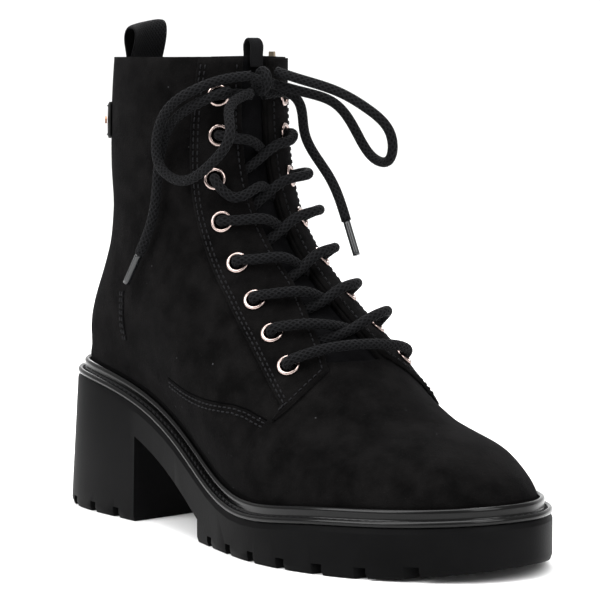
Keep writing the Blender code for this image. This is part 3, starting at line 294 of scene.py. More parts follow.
def rib_lengths(points):
    """Length along each rib from the ridge to each of its points."""
    steps = np.linalg.norm(np.diff(points, axis=1), axis=2)
    return np.concatenate([np.zeros((len(points), 1)), np.cumsum(steps, axis=1)], axis=1)


def surface(stations, across):
    """Points of the last at stations down its length and at distances across it from the
    ridge, below 0 to the lateral side. Both are arrays of one shape, a row for each station."""
    stations = np.asarray(stations, float)
    across = np.asarray(across, float)
    result = np.zeros(across.shape + (3,))
    for side in (-1, 1):
        ribs = rib_points(stations, side)
        lengths = rib_lengths(ribs)
        for i in range(len(stations)):
            chosen = across[i] * side >= 0
            for axis in range(3):
                wanted = np.abs(across[i, chosen])
                result[i, chosen, axis] = np.interp(wanted, lengths[i], ribs[i, :, axis])
    return result


def surface_normals(stations, across):
    """Outward normals of the last, from small steps down its length and across it."""
    step = 0.0008
    low = np.clip(stations - 0.03, 0, LAST_END)
    high = np.clip(stations + 0.03, 0, LAST_END)
    down = surface(high, across) - surface(low, across)
    over = surface(stations, across + step) - surface(stations, across - step)
    normal = np.cross(down, over)
    size = np.linalg.norm(normal, axis=-1, keepdims=True)
    return normal / np.maximum(size, 1e-12)


def rib_reach(stations, side):
    """Length of the whole rib from the ridge to its foot at each station."""
    return rib_lengths(rib_points(np.asarray(stations, float), side))[:, -1]


def throat_edge(stations, side):
    """Distance from the ridge to the throat's edge on one side, wider towards its foot."""
    past = np.asarray(stations, float) - THROAT_STRAIGHT
    share = np.clip(past / (THROAT_END - THROAT_STRAIGHT), 0, 1)
    extra = THROAT_SPREAD_LATERAL if side < 0 else THROAT_SPREAD_MEDIAL
    start = THROAT_LATERAL if side < 0 else THROAT_MEDIAL
    return start + extra * share ** 1.2


# The facings' rear edges: station, then the distance from the ridge on the lateral and the medial
# side as shares of the shaft's width
FACING_REAR = (
    (0.00, 0.430, 0.350),
    (1.90, 0.500, 0.400),
    (4.20, 0.565, 0.470),
    (6.20, 0.645, 0.530),
    (8.20, 0.765, 0.580),
    (9.75, 0.850, 0.620),
    (10.30, 1.000, 0.640),
    (10.45, 1.035, 0.645),
)
# The flap at each facing's foot: where its lower edge starts and ends, and how far from the ridge
# its tip lies as a share of the shaft's width
FLAPS = {-1: (8.70, 10.45, 1.030), 1: (8.35, 10.30, 0.638)}
# The eyelets: station, then distance from the ridge on the lateral and the medial side
EYELET_ROWS = (
    (0.70, 0.290, 0.235),
    (1.45, 0.290, 0.235),
    (2.50, 0.347, 0.250),
    (3.80, 0.379, 0.260),
    (5.00, 0.411, 0.270),
    (6.30, 0.468, 0.285),
    (7.45, 0.532, 0.310),
    (8.55, 0.597, 0.345),
)


def eyelet_frame(row, side):
    """Middle of an eyelet on the facing's outer face, and its axis pointing out."""
    station = np.array([EYELET_ROWS[row][0]])
    across = np.array([[side * EYELET_ROWS[row][1 if side < 0 else 2] * SHAFT_WIDTH]])
    normal = surface_normals(station, across)[0, 0]
    return surface(station, across)[0, 0] + normal * FACING_TOP, normal


def smooth_path(points, count):
    """A smooth curve through given points, read at even steps of its length."""
    points = np.asarray(points, float)
    along = np.concatenate([[0], np.cumsum(np.linalg.norm(np.diff(points, axis=0), axis=1))])
    fine = np.linspace(0, along[-1], 200)
    curve = np.stack([natural_spline(fine, along, points[:, k]) for k in range(3)], -1)
    length = np.concatenate([[0], np.cumsum(np.linalg.norm(np.diff(curve, axis=0), axis=1))])
    even = np.linspace(0, length[-1], count)
    return np.stack([np.interp(even, length, curve[:, k]) for k in range(3)], -1)


def on_last(station, across, over):
    """A place at a height over the last."""
    stations = np.array([station])
    places = np.array([[across]])
    return (surface(stations, places) + surface_normals(stations, places) * over)[0, 0]


LACE_OVER = FACING_TOP + EYELET_HEIGHT + LACE_RADIUS + FIT
LACE_IN_THROAT = LACE_RADIUS + 2 * FIT - UPPER_WALL - TONGUE_ROOM
# How far each medial strand stands off the facing, as a share of the bight's height
BIGHTS = (0.0, 0.2, 1.0, 1.0, 0.7, 0.5, 0.8, 0.0)
# Where each crossing comes out at the throat's edges: station on the medial edge for the strand
# that goes to the lateral eyelet, and on the lateral edge for the one to the medial eyelet
CROSSINGS = (
    (1, 1.80, 2.20),
    (2, 3.00, 3.30),
    (3, 4.05, 4.30),
    (4, 5.25, 5.45),
    (5, 6.30, 6.55),
    (6, 7.30, 7.60),
)


def knot_place():
    """The middle of the knot, in front of the throat's top."""
    return on_last(0.42, -THROAT_LATERAL * 0.45, FACING_TOP + KNOT_RADIUS + FIT)


# Bow: a round woven polyester lace, tied in front of the throat's top. Two loops and two free
# ends hang from the knot, and a plastic tube is crimped on each end.
EYELET_RADIUS = 0.0046
EYELET_HOLE = 0.0029
BIGHT = 0.0060
BOW_LENGTH = 0.044
TAIL_LENGTH = 0.072
AGLET_LENGTH = 0.0150
AGLET_RADIUS = 0.0015


def new_mesh(name, points, faces, finish, smooth=True, uv=None):
    """A piece from points in the boot's frame; uv holds one pair for each corner of a face."""
    mesh = bpy.data.meshes.new(name)
    mesh.from_pydata(np.asarray(points).tolist(), [], faces)
    if uv is not None:
        layer_uv = mesh.uv_layers.new(name="run")
        layer_uv.data.foreach_set("uv", np.asarray(uv, np.float32).ravel())
    mesh.materials.append(finish)
    mesh.polygons.foreach_set("use_smooth", [smooth] * len(mesh.polygons))
    mesh.update()
    made = bpy.data.objects.new(name, mesh)
    bpy.context.scene.collection.objects.link(made)
    return made


def grid_faces(rows, columns, start=0, around=False, flip=False):
    """Quads between neighbouring points of a grid, closed on itself across when around."""
    steps = columns if around else columns - 1
    i, j = np.meshgrid(np.arange(rows - 1), np.arange(steps), indexing="ij")
    k = (j + 1) % columns
    below = (i + 1) * columns
    quads = np.stack([i * columns + j, i * columns + k, below + k, below + j], -1)
    quads = quads.reshape(-1, 4) + start
    return (quads[:, ::-1] if flip else quads).tolist()


def cord_surface(name, path, radius, finish, sides=14, flat=1.0):
    """A tube along a path: a ring of points round each place of the path, in a frame that is
    carried along without twist. Its UV runs round once across, and along in turns of the girth."""
    path = np.asarray(path, float)
    ahead = np.gradient(path, axis=0)
    ahead /= np.linalg.norm(ahead, axis=1, keepdims=True)
    first = np.cross(ahead[0], (0.0, 0.0, 1.0))
    frames = []
    for step in ahead:
        first = first - step * (first @ step)
        first = first / np.linalg.norm(first)
        frames.append((first, np.cross(step, first)))
    frames = np.array(frames)
    turn = -2 * math.pi * np.arange(sides) / sides
    wide_part = np.cos(turn)[None, :, None] * frames[:, None, 0] * flat
    round_part = wide_part + np.sin(turn)[None, :, None] * frames[:, None, 1]
    points = (path[:, None] + radius * round_part).reshape(-1, 3)
    rows = len(path)
    faces = grid_faces(rows, sides, around=True, flip=True)
    steps = np.linalg.norm(np.diff(path, axis=0), axis=1)
    length = np.concatenate([[0], np.cumsum(steps)]) / (2 * math.pi * radius)
    i, j = np.meshgrid(np.arange(rows - 1), np.arange(sides), indexing="ij")
    corner = np.stack([
        np.stack([j / sides, length[i + 1]], -1),
        np.stack([(j + 1) / sides, length[i + 1]], -1),
        np.stack([(j + 1) / sides, length[i]], -1),
        np.stack([j / sides, length[i]], -1),
    ], 2).reshape(-1, 2)
    last = (rows - 1) * sides
    faces.append(tuple(range(sides)))
    faces.append(tuple(range(last + sides - 1, last - 1, -1)))
    corner = np.concatenate([corner, np.zeros((2 * sides, 2))])
    return new_mesh(name, world(points), faces, finish, uv=corner)


def finish_of(name, colour, roughness, metallic=0.0, coat=0.0, sheen=0.0, shine=0.5):
    """A material with one shader, its plain values set on the shader's own sockets."""
    made = bpy.data.materials.new(name)
    made.use_nodes = True
    shader = made.node_tree.nodes["Principled BSDF"]
    shader.inputs["Base Color"].default_value = (*colour, 1.0)
    shader.inputs["Roughness"].default_value = roughness
    shader.inputs["Metallic"].default_value = metallic
    shader.inputs["Specular IOR Level"].default_value = shine
    shader.inputs["Coat Weight"].default_value = coat
    shader.inputs["Coat Roughness"].default_value = 0.08
    shader.inputs["Sheen Weight"].default_value = sheen
    shader.inputs["Sheen Roughness"].default_value = 0.45
    shader.inputs["Sheen Tint"].default_value = (0.8, 0.8, 0.85, 1.0)
    made.diffuse_color = (*colour, 1.0)
    return made


def math_node(tree, operation, one, two=None):
    """A Math node on two values, each another node's output or a number."""
    node = tree.nodes.new("ShaderNodeMath")
    node.operation = operation
    for socket, value in zip(node.inputs, (one, two)):
        if value is None:
            continue
        if isinstance(value, (int, float)):
            socket.default_value = value
        else:
            tree.links.new(value, socket)
    return node.outputs[0]


def new_group(name, inputs, outputs):
    """A node group with float inputs (name, value) and outputs (name, socket type)."""
    group = bpy.data.node_groups.new(name, "ShaderNodeTree")
    for label, kind, value in inputs:
        socket = group.interface.new_socket(label, in_out="INPUT", socket_type=kind)
        if value is not None:
            socket.default_value = value
    for label, kind in outputs:
        group.interface.new_socket(label, in_out="OUTPUT", socket_type=kind)
    return group, group.nodes.new("NodeGroupInput"), group.nodes.new("NodeGroupOutput")


# Grain: a soft mottle in two sizes and a fine tooth, for nap, rubber and cloth
GRAIN, grain_in, grain_out = new_group("grain", [
    ("Vector", "NodeSocketVector", None),
    ("Patch Scale", "NodeSocketFloat", 60.0),
    ("Tooth Scale", "NodeSocketFloat", 1400.0),
    ("Depth", "NodeSocketFloat", 0.2),
], [("Mottle", "NodeSocketFloat"), ("Normal", "NodeSocketVector")])
patch = GRAIN.nodes.new("ShaderNodeTexNoise")
patch.inputs["Detail"].default_value = 5.0
patch.inputs["Roughness"].default_value = 0.62
GRAIN.links.new(grain_in.outputs["Vector"], patch.inputs["Vector"])
GRAIN.links.new(grain_in.outputs["Patch Scale"], patch.inputs["Scale"])
tooth = GRAIN.nodes.new("ShaderNodeTexNoise")
tooth.inputs["Detail"].default_value = 3.0
GRAIN.links.new(grain_in.outputs["Vector"], tooth.inputs["Vector"])
GRAIN.links.new(grain_in.outputs["Tooth Scale"], tooth.inputs["Scale"])
patch_relief = math_node(GRAIN, "MULTIPLY", patch.outputs["Fac"], 1.6)
relief = math_node(GRAIN, "ADD", patch_relief, tooth.outputs["Fac"])
grain_bump = GRAIN.nodes.new("ShaderNodeBump")
grain_bump.inputs["Distance"].default_value = 0.0004
GRAIN.links.new(grain_in.outputs["Depth"], grain_bump.inputs["Strength"])
GRAIN.links.new(relief, grain_bump.inputs["Height"])
GRAIN.links.new(patch.outputs["Fac"], grain_out.inputs["Mottle"])
GRAIN.links.new(grain_bump.outputs["Normal"], grain_out.inputs["Normal"])

# Braid: strands that cross at two slants round and along a cord
BRAID, braid_in, braid_out = new_group("braid", [
    ("Vector", "NodeSocketVector", None),
    ("Strands", "NodeSocketFloat", 10.0),
    ("Pitch", "NodeSocketFloat", 9.0),
    ("Depth", "NodeSocketFloat", 0.6),
], [("Height", "NodeSocketFloat"), ("Normal", "NodeSocketVector")])
split = BRAID.nodes.new("ShaderNodeSeparateXYZ")
BRAID.links.new(braid_in.outputs["Vector"], split.inputs[0])
across_turns = math_node(BRAID, "MULTIPLY", split.outputs["X"], braid_in.outputs["Strands"])
along_turns = math_node(BRAID, "MULTIPLY", split.outputs["Y"], braid_in.outputs["Pitch"])
slants = []
for operation in ("ADD", "SUBTRACT"):
    turns = math_node(BRAID, operation, across_turns, along_turns)
    slants.append(math_node(BRAID, "SINE", math_node(BRAID, "MULTIPLY", turns, 2 * math.pi)))
braid_height = math_node(BRAID, "MAXIMUM", slants[0], slants[1])
braid_bump = BRAID.nodes.new("ShaderNodeBump")
braid_bump.inputs["Distance"].default_value = 0.0003
BRAID.links.new(braid_in.outputs["Depth"], braid_bump.inputs["Strength"])
BRAID.links.new(braid_height, braid_bump.inputs["Height"])
BRAID.links.new(braid_height, braid_out.inputs["Height"])
BRAID.links.new(braid_bump.outputs["Normal"], braid_out.inputs["Normal"])


def add_grain(finish, dark, light, patch_scale, tooth_scale, depth):
    """Colour that drifts between two tones with the grain, and its bump."""
    tree = finish.node_tree
    shader = tree.nodes["Principled BSDF"]
    place = tree.nodes.new("ShaderNodeTexCoord")
    grain = tree.nodes.new("ShaderNodeGroup")
    grain.node_tree = GRAIN
    grain.inputs["Patch Scale"].default_value = patch_scale
    grain.inputs["Tooth Scale"].default_value = tooth_scale
    grain.inputs["Depth"].default_value = depth
    tree.links.new(place.outputs["Object"], grain.inputs["Vector"])
    ramp = tree.nodes.new("ShaderNodeValToRGB")
    ramp.color_ramp.elements[0].position = 0.36
    ramp.color_ramp.elements[0].color = (*dark, 1.0)
    ramp.color_ramp.elements[1].position = 0.66
    ramp.color_ramp.elements[1].color = (*light, 1.0)
    tree.links.new(grain.outputs["Mottle"], ramp.inputs["Fac"])
    tree.links.new(ramp.outputs["Color"], shader.inputs["Base Color"])
    tree.links.new(grain.outputs["Normal"], shader.inputs["Normal"])
    return ramp


def add_braid(finish, dark, light, strands, pitch, depth):
    """Colour and bump of the braid on a piece's own UV, darker between its strands: painted shade
    in the grooves.
    """
    tree = finish.node_tree
    shader = tree.nodes["Principled BSDF"]
    place = tree.nodes.new("ShaderNodeTexCoord")
    braid = tree.nodes.new("ShaderNodeGroup")
    braid.node_tree = BRAID
    braid.inputs["Strands"].default_value = strands
    braid.inputs["Pitch"].default_value = pitch
    braid.inputs["Depth"].default_value = depth
    tree.links.new(place.outputs["UV"], braid.inputs["Vector"])
    # Painted shade: the ramp darkens the colour where the braid is low, in the grooves between
    # strands
    ramp = tree.nodes.new("ShaderNodeValToRGB")
    ramp.color_ramp.elements[0].position = 0.0
    ramp.color_ramp.elements[0].color = (*dark, 1.0)
    ramp.color_ramp.elements[1].position = 0.9
    ramp.color_ramp.elements[1].color = (*light, 1.0)
    tree.links.new(braid.outputs["Height"], ramp.inputs["Fac"])
    tree.links.new(ramp.outputs["Color"], shader.inputs["Base Color"])
    tree.links.new(braid.outputs["Normal"], shader.inputs["Normal"])


LACE_WEAVE = finish_of("lace_weave", (0.006, 0.006, 0.006), 0.78, sheen=0.015, shine=0.05)
# The braid's darker tone is painted shade in the grooves between the lace's strands
add_braid(LACE_WEAVE, (0.0020, 0.0020, 0.0022), (0.0074, 0.0075, 0.0082), 7.0, 5.0, 0.75)
AGLET_PLASTIC = finish_of("aglet_plastic", (0.008, 0.009, 0.010), 0.2, coat=0.3, shine=0.4)

# Offsets from the knot as shares of the bow's length: forward, medial, up
left_loop = (
    (0.043, -0.150, 0.050),
    (-0.085, -0.352, 0.020),
    (-0.198, -0.602, -0.070),
    (-0.408, -0.716, -0.208),
    (-0.589, -0.739, -0.449),
    (-0.591, -0.739, -0.744),
    (-0.324, -0.727, -0.901),
    (0.085, -0.693, -0.761),
    (0.300, -0.625, -0.495),
    (0.110, -0.466, -0.240),
    (0.027, -0.145, -0.105),
)
right_loop = (
    (0.020, 0.150, -0.030),
    (0.217, 0.330, -0.102),
    (0.390, 0.534, -0.194),
    (0.481, 0.739, -0.463),
    (0.605, 0.852, -0.712),
    (0.796, 0.852, -0.734),
    (0.909, 0.784, -0.491),
    (0.795, 0.602, -0.253),
    (0.601, 0.420, -0.099),
    (0.320, 0.230, 0.010),
    (0.060, 0.140, 0.085),
)
# Offsets from the knot as shares of the ends' length
left_end = (
    (-0.045, -0.195, -0.052),
    (-0.058, -0.262, -0.072),
    (-0.147, -0.347, -0.127),
    (-0.357, -0.380, -0.265),
    (-0.441, -0.382, -0.447),
    (-0.476, -0.389, -0.704),
    (-0.529, -0.392, -0.849),
    (-0.614, -0.395, -0.986),
)
right_end = (
    (0.014, 0.190, -0.062),
    (0.036, 0.230, -0.100),
    (0.005, 0.320, -0.298),
    (0.120, 0.405, -0.545),
    (0.250, 0.420, -0.790),
)

knot_middle = knot_place()
for word, offsets, size, count in (
    ("loop_left", left_loop, BOW_LENGTH, 19),
    ("loop_right", right_loop, BOW_LENGTH, 18),
    ("end_left", left_end, TAIL_LENGTH, 10),
    ("end_right", right_end, TAIL_LENGTH, 9),
):
    route = smooth_path(knot_middle + np.array(offsets) * size, count * 6)
    free_lace = cord_surface(f"bow_{word}", route, LACE_RADIUS * 0.98, LACE_WEAVE)
    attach(free_lace, "boot")
    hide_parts(f"lace_{word}")
    if word.startswith("end"):
        ahead = route[-1] - route[-2]
        ahead /= np.linalg.norm(ahead)
        run = np.linspace(0.0, AGLET_LENGTH, 12)[:, None]
        path = route[-1] + ahead * (run + FIT)
        tip = cord_surface(f"tip_{word[4:]}", path, AGLET_RADIUS, AGLET_PLASTIC)
        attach(tip, "boot")
        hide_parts(word.replace("end", "aglet"))


# The third lateral strand hangs lower than the others, by this share of a station
THIRD_STRAND_SAG = 0.55


def strand_route(row, side, start):
    """Places of one strand: out at the opposite edge of the throat, over the tongue and this
    side's facing, and down into the eyelet. Medial strands stand off the facing in a bight."""
    station = EYELET_ROWS[row][0]
    far = EYELET_ROWS[row][1 if side < 0 else 2] * SHAFT_WIDTH
    opposite = throat_edge([start], -side)[0] - LACE_RADIUS * 0.6
    own = throat_edge([station], side)[0]
    middle, axis = eyelet_frame(row, side)
    lift = BIGHT * BIGHTS[row] if side > 0 else 0.0
    rise = LACE_IN_THROAT + LACE_RADIUS * 0.7
    sag = THIRD_STRAND_SAG if side < 0 and row == 2 else 0.0
    fall = station - start
    beside_eyelet = far - EYELET_RADIUS * 1.05
    tucked = -UPPER_WALL - LACE_RADIUS
    pressed = LACE_IN_THROAT - LACE_RADIUS
    return [
        on_last(start - fall * 0.30, -side * (opposite + LACE_RADIUS * 2.6), tucked),
        on_last(start - fall * 0.05, -side * (opposite + LACE_RADIUS * 0.4), pressed),
        on_last(start + fall * 0.35, side * (own - opposite) * 0.4, rise),
        on_last(start + fall * 0.7 + sag * 0.6, side * own * 1.08, LACE_OVER + lift * 0.35),
        on_last(station - fall * 0.2 + sag, side * beside_eyelet, LACE_OVER + FIT + lift),
        middle + axis * (LACE_RADIUS * 1.15 + lift * 0.8) - (0.0, side * EYELET_HOLE * 0.10, 0.0),
        middle - axis * FACING_TOP,
    ]


def bar_route():
    """Places of the lowest strand, straight across from one eyelet to the other."""
    station, lateral, medial = EYELET_ROWS[-1]
    left, left_axis = eyelet_frame(len(EYELET_ROWS) - 1, -1)
    right, right_axis = eyelet_frame(len(EYELET_ROWS) - 1, 1)
    return [
        left - left_axis * FACING_TOP,
        left + left_axis * LACE_RADIUS * 1.15,
        on_last(station - 0.1, -lateral * SHAFT_WIDTH + EYELET_RADIUS * 1.1, LACE_OVER + FIT),
        on_last(station - 0.3, -throat_edge([station], -1)[0], LACE_OVER),
        on_last(station - 0.3, THROAT_MEDIAL, LACE_OVER),
        on_last(station - 0.1, medial * SHAFT_WIDTH - EYELET_RADIUS * 1.1, LACE_OVER + FIT),
        right + right_axis * LACE_RADIUS * 1.15,
        right - right_axis * FACING_TOP,
    ]


def top_route(side):
    """Places of the lace from a top eyelet up to the underside of the knot."""
    middle, axis = eyelet_frame(0, side)
    far = EYELET_ROWS[0][1 if side < 0 else 2] * SHAFT_WIDTH
    return [
        middle - axis * FACING_TOP,
        middle + axis * LACE_RADIUS * 1.15 - (0.0, side * EYELET_HOLE * 0.10, 0.0),
        on_last(0.66, side * (far - EYELET_RADIUS * 1.1), LACE_OVER - FIT),
        knot_middle + (-KNOT_RADIUS * 0.5, side * KNOT_RADIUS * 0.62, -KNOT_RADIUS * 1.27),
    ]


# Knot and lacing: the same lace. It comes out of each eyelet from inside, crosses over the
# tongue to the other facing, and is pulled tight under a flat turn at the knot.
knot_core = []
for side, high in ((-1, 0.25), (1, -0.35)):
    knot_core.append([
        knot_middle + (0.0006, side * KNOT_RADIUS * 1.5, KNOT_RADIUS * high),
        knot_middle + (0.0012, 0.0, KNOT_RADIUS * (high + side * 0.2)),
        knot_middle + (0.0006, -side * KNOT_RADIUS * 1.3, -KNOT_RADIUS * high),
    ])
wrap_turn = np.linspace(-math.pi * 0.9, math.pi * 1.1, 12)
wrap_shares = (0.72 * np.cos(wrap_turn), 0.10 + 0.05 * wrap_turn, 0.86 * np.sin(wrap_turn))
knot_wrap = knot_middle + KNOT_RADIUS * np.stack(wrap_shares, -1)
for i, offsets in enumerate([*knot_core, knot_wrap]):
    path = smooth_path(offsets, 40)
    strand = cord_surface(f"knot_turn_{i + 1}", path, LACE_RADIUS, LACE_WEAVE, flat=0.9)
    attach(strand, "boot")
    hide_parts("lace_knot")

for row, from_medial, from_lateral in CROSSINGS:
    for side, start in ((-1, from_medial), (1, from_lateral)):
        route = strand_route(row, side, start)
        word = "lateral" if side < 0 else "medial"
        path = smooth_path(route, 60)
        strand = cord_surface(f"strand_{word}_{row + 1}", path, LACE_RADIUS, LACE_WEAVE)
        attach(strand, "boot")
        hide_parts(f"lace_crossing_{row + 1}")
bar = cord_surface("strand_bar", smooth_path(bar_route(), 80), LACE_RADIUS, LACE_WEAVE)
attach(bar, "boot")
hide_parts("lace_bar")
for side, word in ((-1, "lateral"), (1, "medial")):
    path = smooth_path(top_route(side), 40)
    strand = cord_surface(f"strand_{word}_1", path, LACE_RADIUS * 0.9, LACE_WEAVE)
    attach(strand, "boot")
    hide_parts(f"lace_{word}_1")


# Upper: black suede pulled over the last, with the nap brushed unevenly. It is one shell with a
# real wall, open at the collar and down the throat, with soft creases at the vamp and ankle.
EYELET_WALL = 0.00035
COLLAR_DIP = 0.0105
COLLAR_DIP_START = 0.068
ZIP_PLACE = 0.0780
SLIDER_WIDTH = 0.0046
SUEDE_NAP = finish_of("suede_nap", (0.004, 0.004, 0.004), 0.95, sheen=0.012, shine=0.015)
SUEDE_TONES = ((0.0018, 0.0017, 0.0017), (0.0048, 0.0045, 0.0045))
add_grain(SUEDE_NAP, *SUEDE_TONES, 85.0, 1500.0, 0.8)
suede_tree = SUEDE_NAP.node_tree
specks = suede_tree.nodes.new("ShaderNodeTexVoronoi")
specks.inputs["Scale"].default_value = 300.0
place = suede_tree.nodes["Texture Coordinate"]
suede_tree.links.new(place.outputs["Object"], specks.inputs["Vector"])
chosen = suede_tree.nodes.new("ShaderNodeSeparateColor")
suede_tree.links.new(specks.outputs["Color"], chosen.inputs[0])
small = math_node(suede_tree, "LESS_THAN", specks.outputs["Distance"], 0.09)
rare = math_node(suede_tree, "GREATER_THAN", chosen.outputs[0], 0.93)
lint = math_node(suede_tree, "MULTIPLY", small, rare)
blend = suede_tree.nodes.new("ShaderNodeMix")
blend.data_type = "RGBA"
blend.inputs[7].default_value = (0.05, 0.05, 0.053, 1.0)
suede_tree.links.new(lint, blend.inputs[0])
suede_tree.links.new(suede_tree.nodes["Color Ramp"].outputs["Color"], blend.inputs[6])
suede_tree.links.new(blend.outputs[2], suede_tree.nodes["Principled BSDF"].inputs["Base Color"])

# Creases: from and to as (station, across as a share of the shaft's width), then half width and
# depth in shares of the upper's wall; a negative depth is a ridge
CREASES = (
    (9.6, -0.75, 10.9, 0.10, 2.6, 0.55),
    (10.4, -0.85, 11.6, -0.10, 2.2, 0.40),
    (9.9, -0.45, 10.6, 0.55, 3.0, -0.40),
    (11.6, -0.95, 12.5, 0.15, 3.2, 0.35),
    (10.3, 0.80, 11.2, 0.20, 2.6, 0.45),
    (9.3, -1.30, 10.8, -1.05, 2.8, 0.50),
    (8.2, -1.15, 9.4, -0.95, 3.0, 0.35),
    (5.2, -1.75, 6.0, -0.95, 3.4, 0.65),
    (6.1, -1.70, 6.6, -1.05, 3.6, -0.45),
    (4.2, -1.80, 4.7, -1.00, 4.0, 0.50),
    (3.0, -1.70, 3.3, -0.80, 4.5, 0.40),
    (5.2, 1.70, 6.0, 0.85, 3.4, 0.60),
    (4.0, 1.75, 4.6, 0.90, 4.0, 0.45),
    (2.2, 1.60, 2.6, 0.80, 4.6, 0.35),
    (1.6, -1.50, 1.2, -0.75, 5.0, 0.35),
    (12.6, -0.60, 13.2, 0.50, 3.5, 0.22),
)


# Height of the slow uneven swell of the hide between the creases
SWELL_HEIGHT = 0.00012


def crease_relief(points):
    """Height to add at points of the last: for each crease a bell-shaped trough across its line,
    which fades to nothing at both ends, plus a slow uneven swell of the hide."""
    flat = points.reshape(-1, 3)
    total = np.zeros(len(flat))
    for one, one_across, two, two_across, wide, deep in CREASES:
        share = np.linspace(0, 1, 25)
        line_across = (one_across + (two_across - one_across) * share)[:, None] * SHAFT_WIDTH
        line = surface(one + (two - one) * share, line_across)[:, 0]
        away = np.linalg.norm(flat[:, None] - line[None], axis=2)
        nearest = away.argmin(1)
        fade = np.sin(math.pi * share[nearest]) ** 0.8
        bell = np.exp(-(away.min(1) / (wide * UPPER_WALL * 0.7)) ** 2)
        total -= deep * UPPER_WALL * 0.5 * fade * bell
    s, y, z = (flat[:, axis] * 1000 for axis in range(3))
    swell = np.sin(s / 9.5 + 0.7 * np.sin(z / 13)) * np.sin(z / 11.5 + y / 17)
    swell = swell + 0.6 * np.sin(s / 5.1 - z / 6.3 + y / 8)
    total += SWELL_HEIGHT * swell
    return total.reshape(points.shape[:-1])


def cut_with(piece, tools):
    """The piece less all the tools, worked out once and kept in its mesh."""
    for tool in tools:
        change = piece.modifiers.new("cut", "BOOLEAN")
        change.object = tool
        change.solver = "EXACT"
    shaped = piece.evaluated_get(bpy.context.evaluated_depsgraph_get())
    settled = bpy.data.meshes.new_from_object(shaped)
    piece.modifiers.clear()
    piece.data = settled
    for tool in tools:
        bpy.data.objects.remove(tool)


def ring_about(middle, axis, profile, segments):
    """Points of a profile of (radius, height) turned about an axis, ring after ring."""
    first = np.cross(axis, (0.0, 0.0, 1.0))
    first /= np.linalg.norm(first)
    second = np.cross(axis, first)
    turn = 2 * math.pi * (np.arange(segments) + 0.5) / segments
    out = np.cos(turn)[:, None] * first + np.sin(turn)[:, None] * second
    profile = np.asarray(profile, float)
    return middle + profile[:, None, :1] * out[None] + profile[:, None, 1:] * axis


def drill_set(name, side):
    """One tool of eight plain rods, where a row of eyelets goes through facing and upper."""
    points, faces = [], []
    sides = 20
    reach = FACING_TOP + UPPER_WALL * 1.6
    for row in range(len(EYELET_ROWS)):
        middle, axis = eyelet_frame(row, side)
        hole = EYELET_HOLE + EYELET_WALL + FIT
        rod = ring_about(middle, axis, ((hole, -reach), (hole, reach)), sides)
        start = row * 2 * sides
        points.append(rod.reshape(-1, 3))
        faces += grid_faces(2, sides, start, around=True)
        faces.append(tuple(range(start + sides - 1, start - 1, -1)))
        faces.append(tuple(range(start + sides, start + 2 * sides)))
    return new_mesh(name, world(np.concatenate(points)), faces, SUEDE_NAP, smooth=False)


def dip_tool(name):
    """The wedge that lowers the collar's front corner on the medial side."""
    profile = (
        (COLLAR_DIP_START, COLLAR_HEIGHT + FIT),
        (ZIP_PLACE - SLIDER_WIDTH / 2, COLLAR_HEIGHT - COLLAR_DIP * 0.66),
        (SOLE_LENGTH / 2, COLLAR_HEIGHT - COLLAR_DIP),
        (SOLE_LENGTH / 2, COLLAR_HEIGHT + COLLAR_DIP),
        (COLLAR_DIP_START, COLLAR_HEIGHT + COLLAR_DIP),
    )
    points = [(s, side, z) for side in (THROAT_MEDIAL * 0.6, SHAFT_WIDTH) for s, z in profile]
    count = len(profile)
    faces = [tuple(range(count - 1, -1, -1)), tuple(range(count, 2 * count))]
    faces += [(i, (i + 1) % count, (i + 1) % count + count, i + count) for i in range(count)]
    return new_mesh(name, world(points), faces, SUEDE_NAP, smooth=False)


ROWS_DOWN_THROAT = 76
ROWS_BELOW_THROAT = 46
COLUMNS_A_SIDE = 61
OPEN_ROWS = 71
shell_rows = np.concatenate([
    np.linspace(0, THROAT_END, ROWS_DOWN_THROAT),
    np.linspace(THROAT_END, LAST_END, ROWS_BELOW_THROAT)[1:],
])
shell_reach = {side: rib_reach(shell_rows, side)[:, None] for side in (-1, 1)}
shell_edge = {
    side: np.minimum(throat_edge(shell_rows, side)[:, None], 0.22 * shell_reach[side])
    for side in (-1, 1)
}
shell_share = np.linspace(0, 1, COLUMNS_A_SIDE)[None, :]
shell_across = np.concatenate([
    -shell_reach[-1] + (shell_reach[-1] - shell_edge[-1]) * shell_share,
    -shell_edge[-1] / 3,
    shell_edge[1] / 3,
    shell_edge[1] + (shell_reach[1] - shell_edge[1]) * shell_share,
], 1)
shell = surface(shell_rows, shell_across)
settle = np.clip((LAST_END - shell_rows) / 1.2, 0, 1) * np.clip(shell_rows / 0.6, 0, 1)
relief_height = crease_relief(shell) * settle[:, None]
shell = shell + surface_normals(shell_rows, shell_across) * relief_height[..., None]
hem = shell[-1:].copy()
hem[:, :, 2] -= HEM - 2 * FIT
shell = np.concatenate([shell, hem])
rows, columns = shell.shape[:2]
quads = np.array(grid_faces(rows, columns, flip=True)).reshape(rows - 1, columns - 1, 4)
kept = np.ones((rows - 1, columns - 1), bool)
kept[:OPEN_ROWS, COLUMNS_A_SIDE - 1:COLUMNS_A_SIDE + 2] = False
upper = new_mesh("upper_suede", world(shell.reshape(-1, 3)), quads[kept].tolist(), SUEDE_NAP)
seam_merge = upper.modifiers.new("back_seam", "WELD")
seam_merge.merge_threshold = 0.00008
wall = upper.modifiers.new("wall", "SOLIDIFY")
wall.thickness = UPPER_WALL
wall.offset = -1
cut_with(upper, [
    dip_tool("dip_upper"),
    drill_set("holes_lateral", -1),
    drill_set("holes_medial", 1),
])
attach(upper, "boot")
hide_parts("upper")


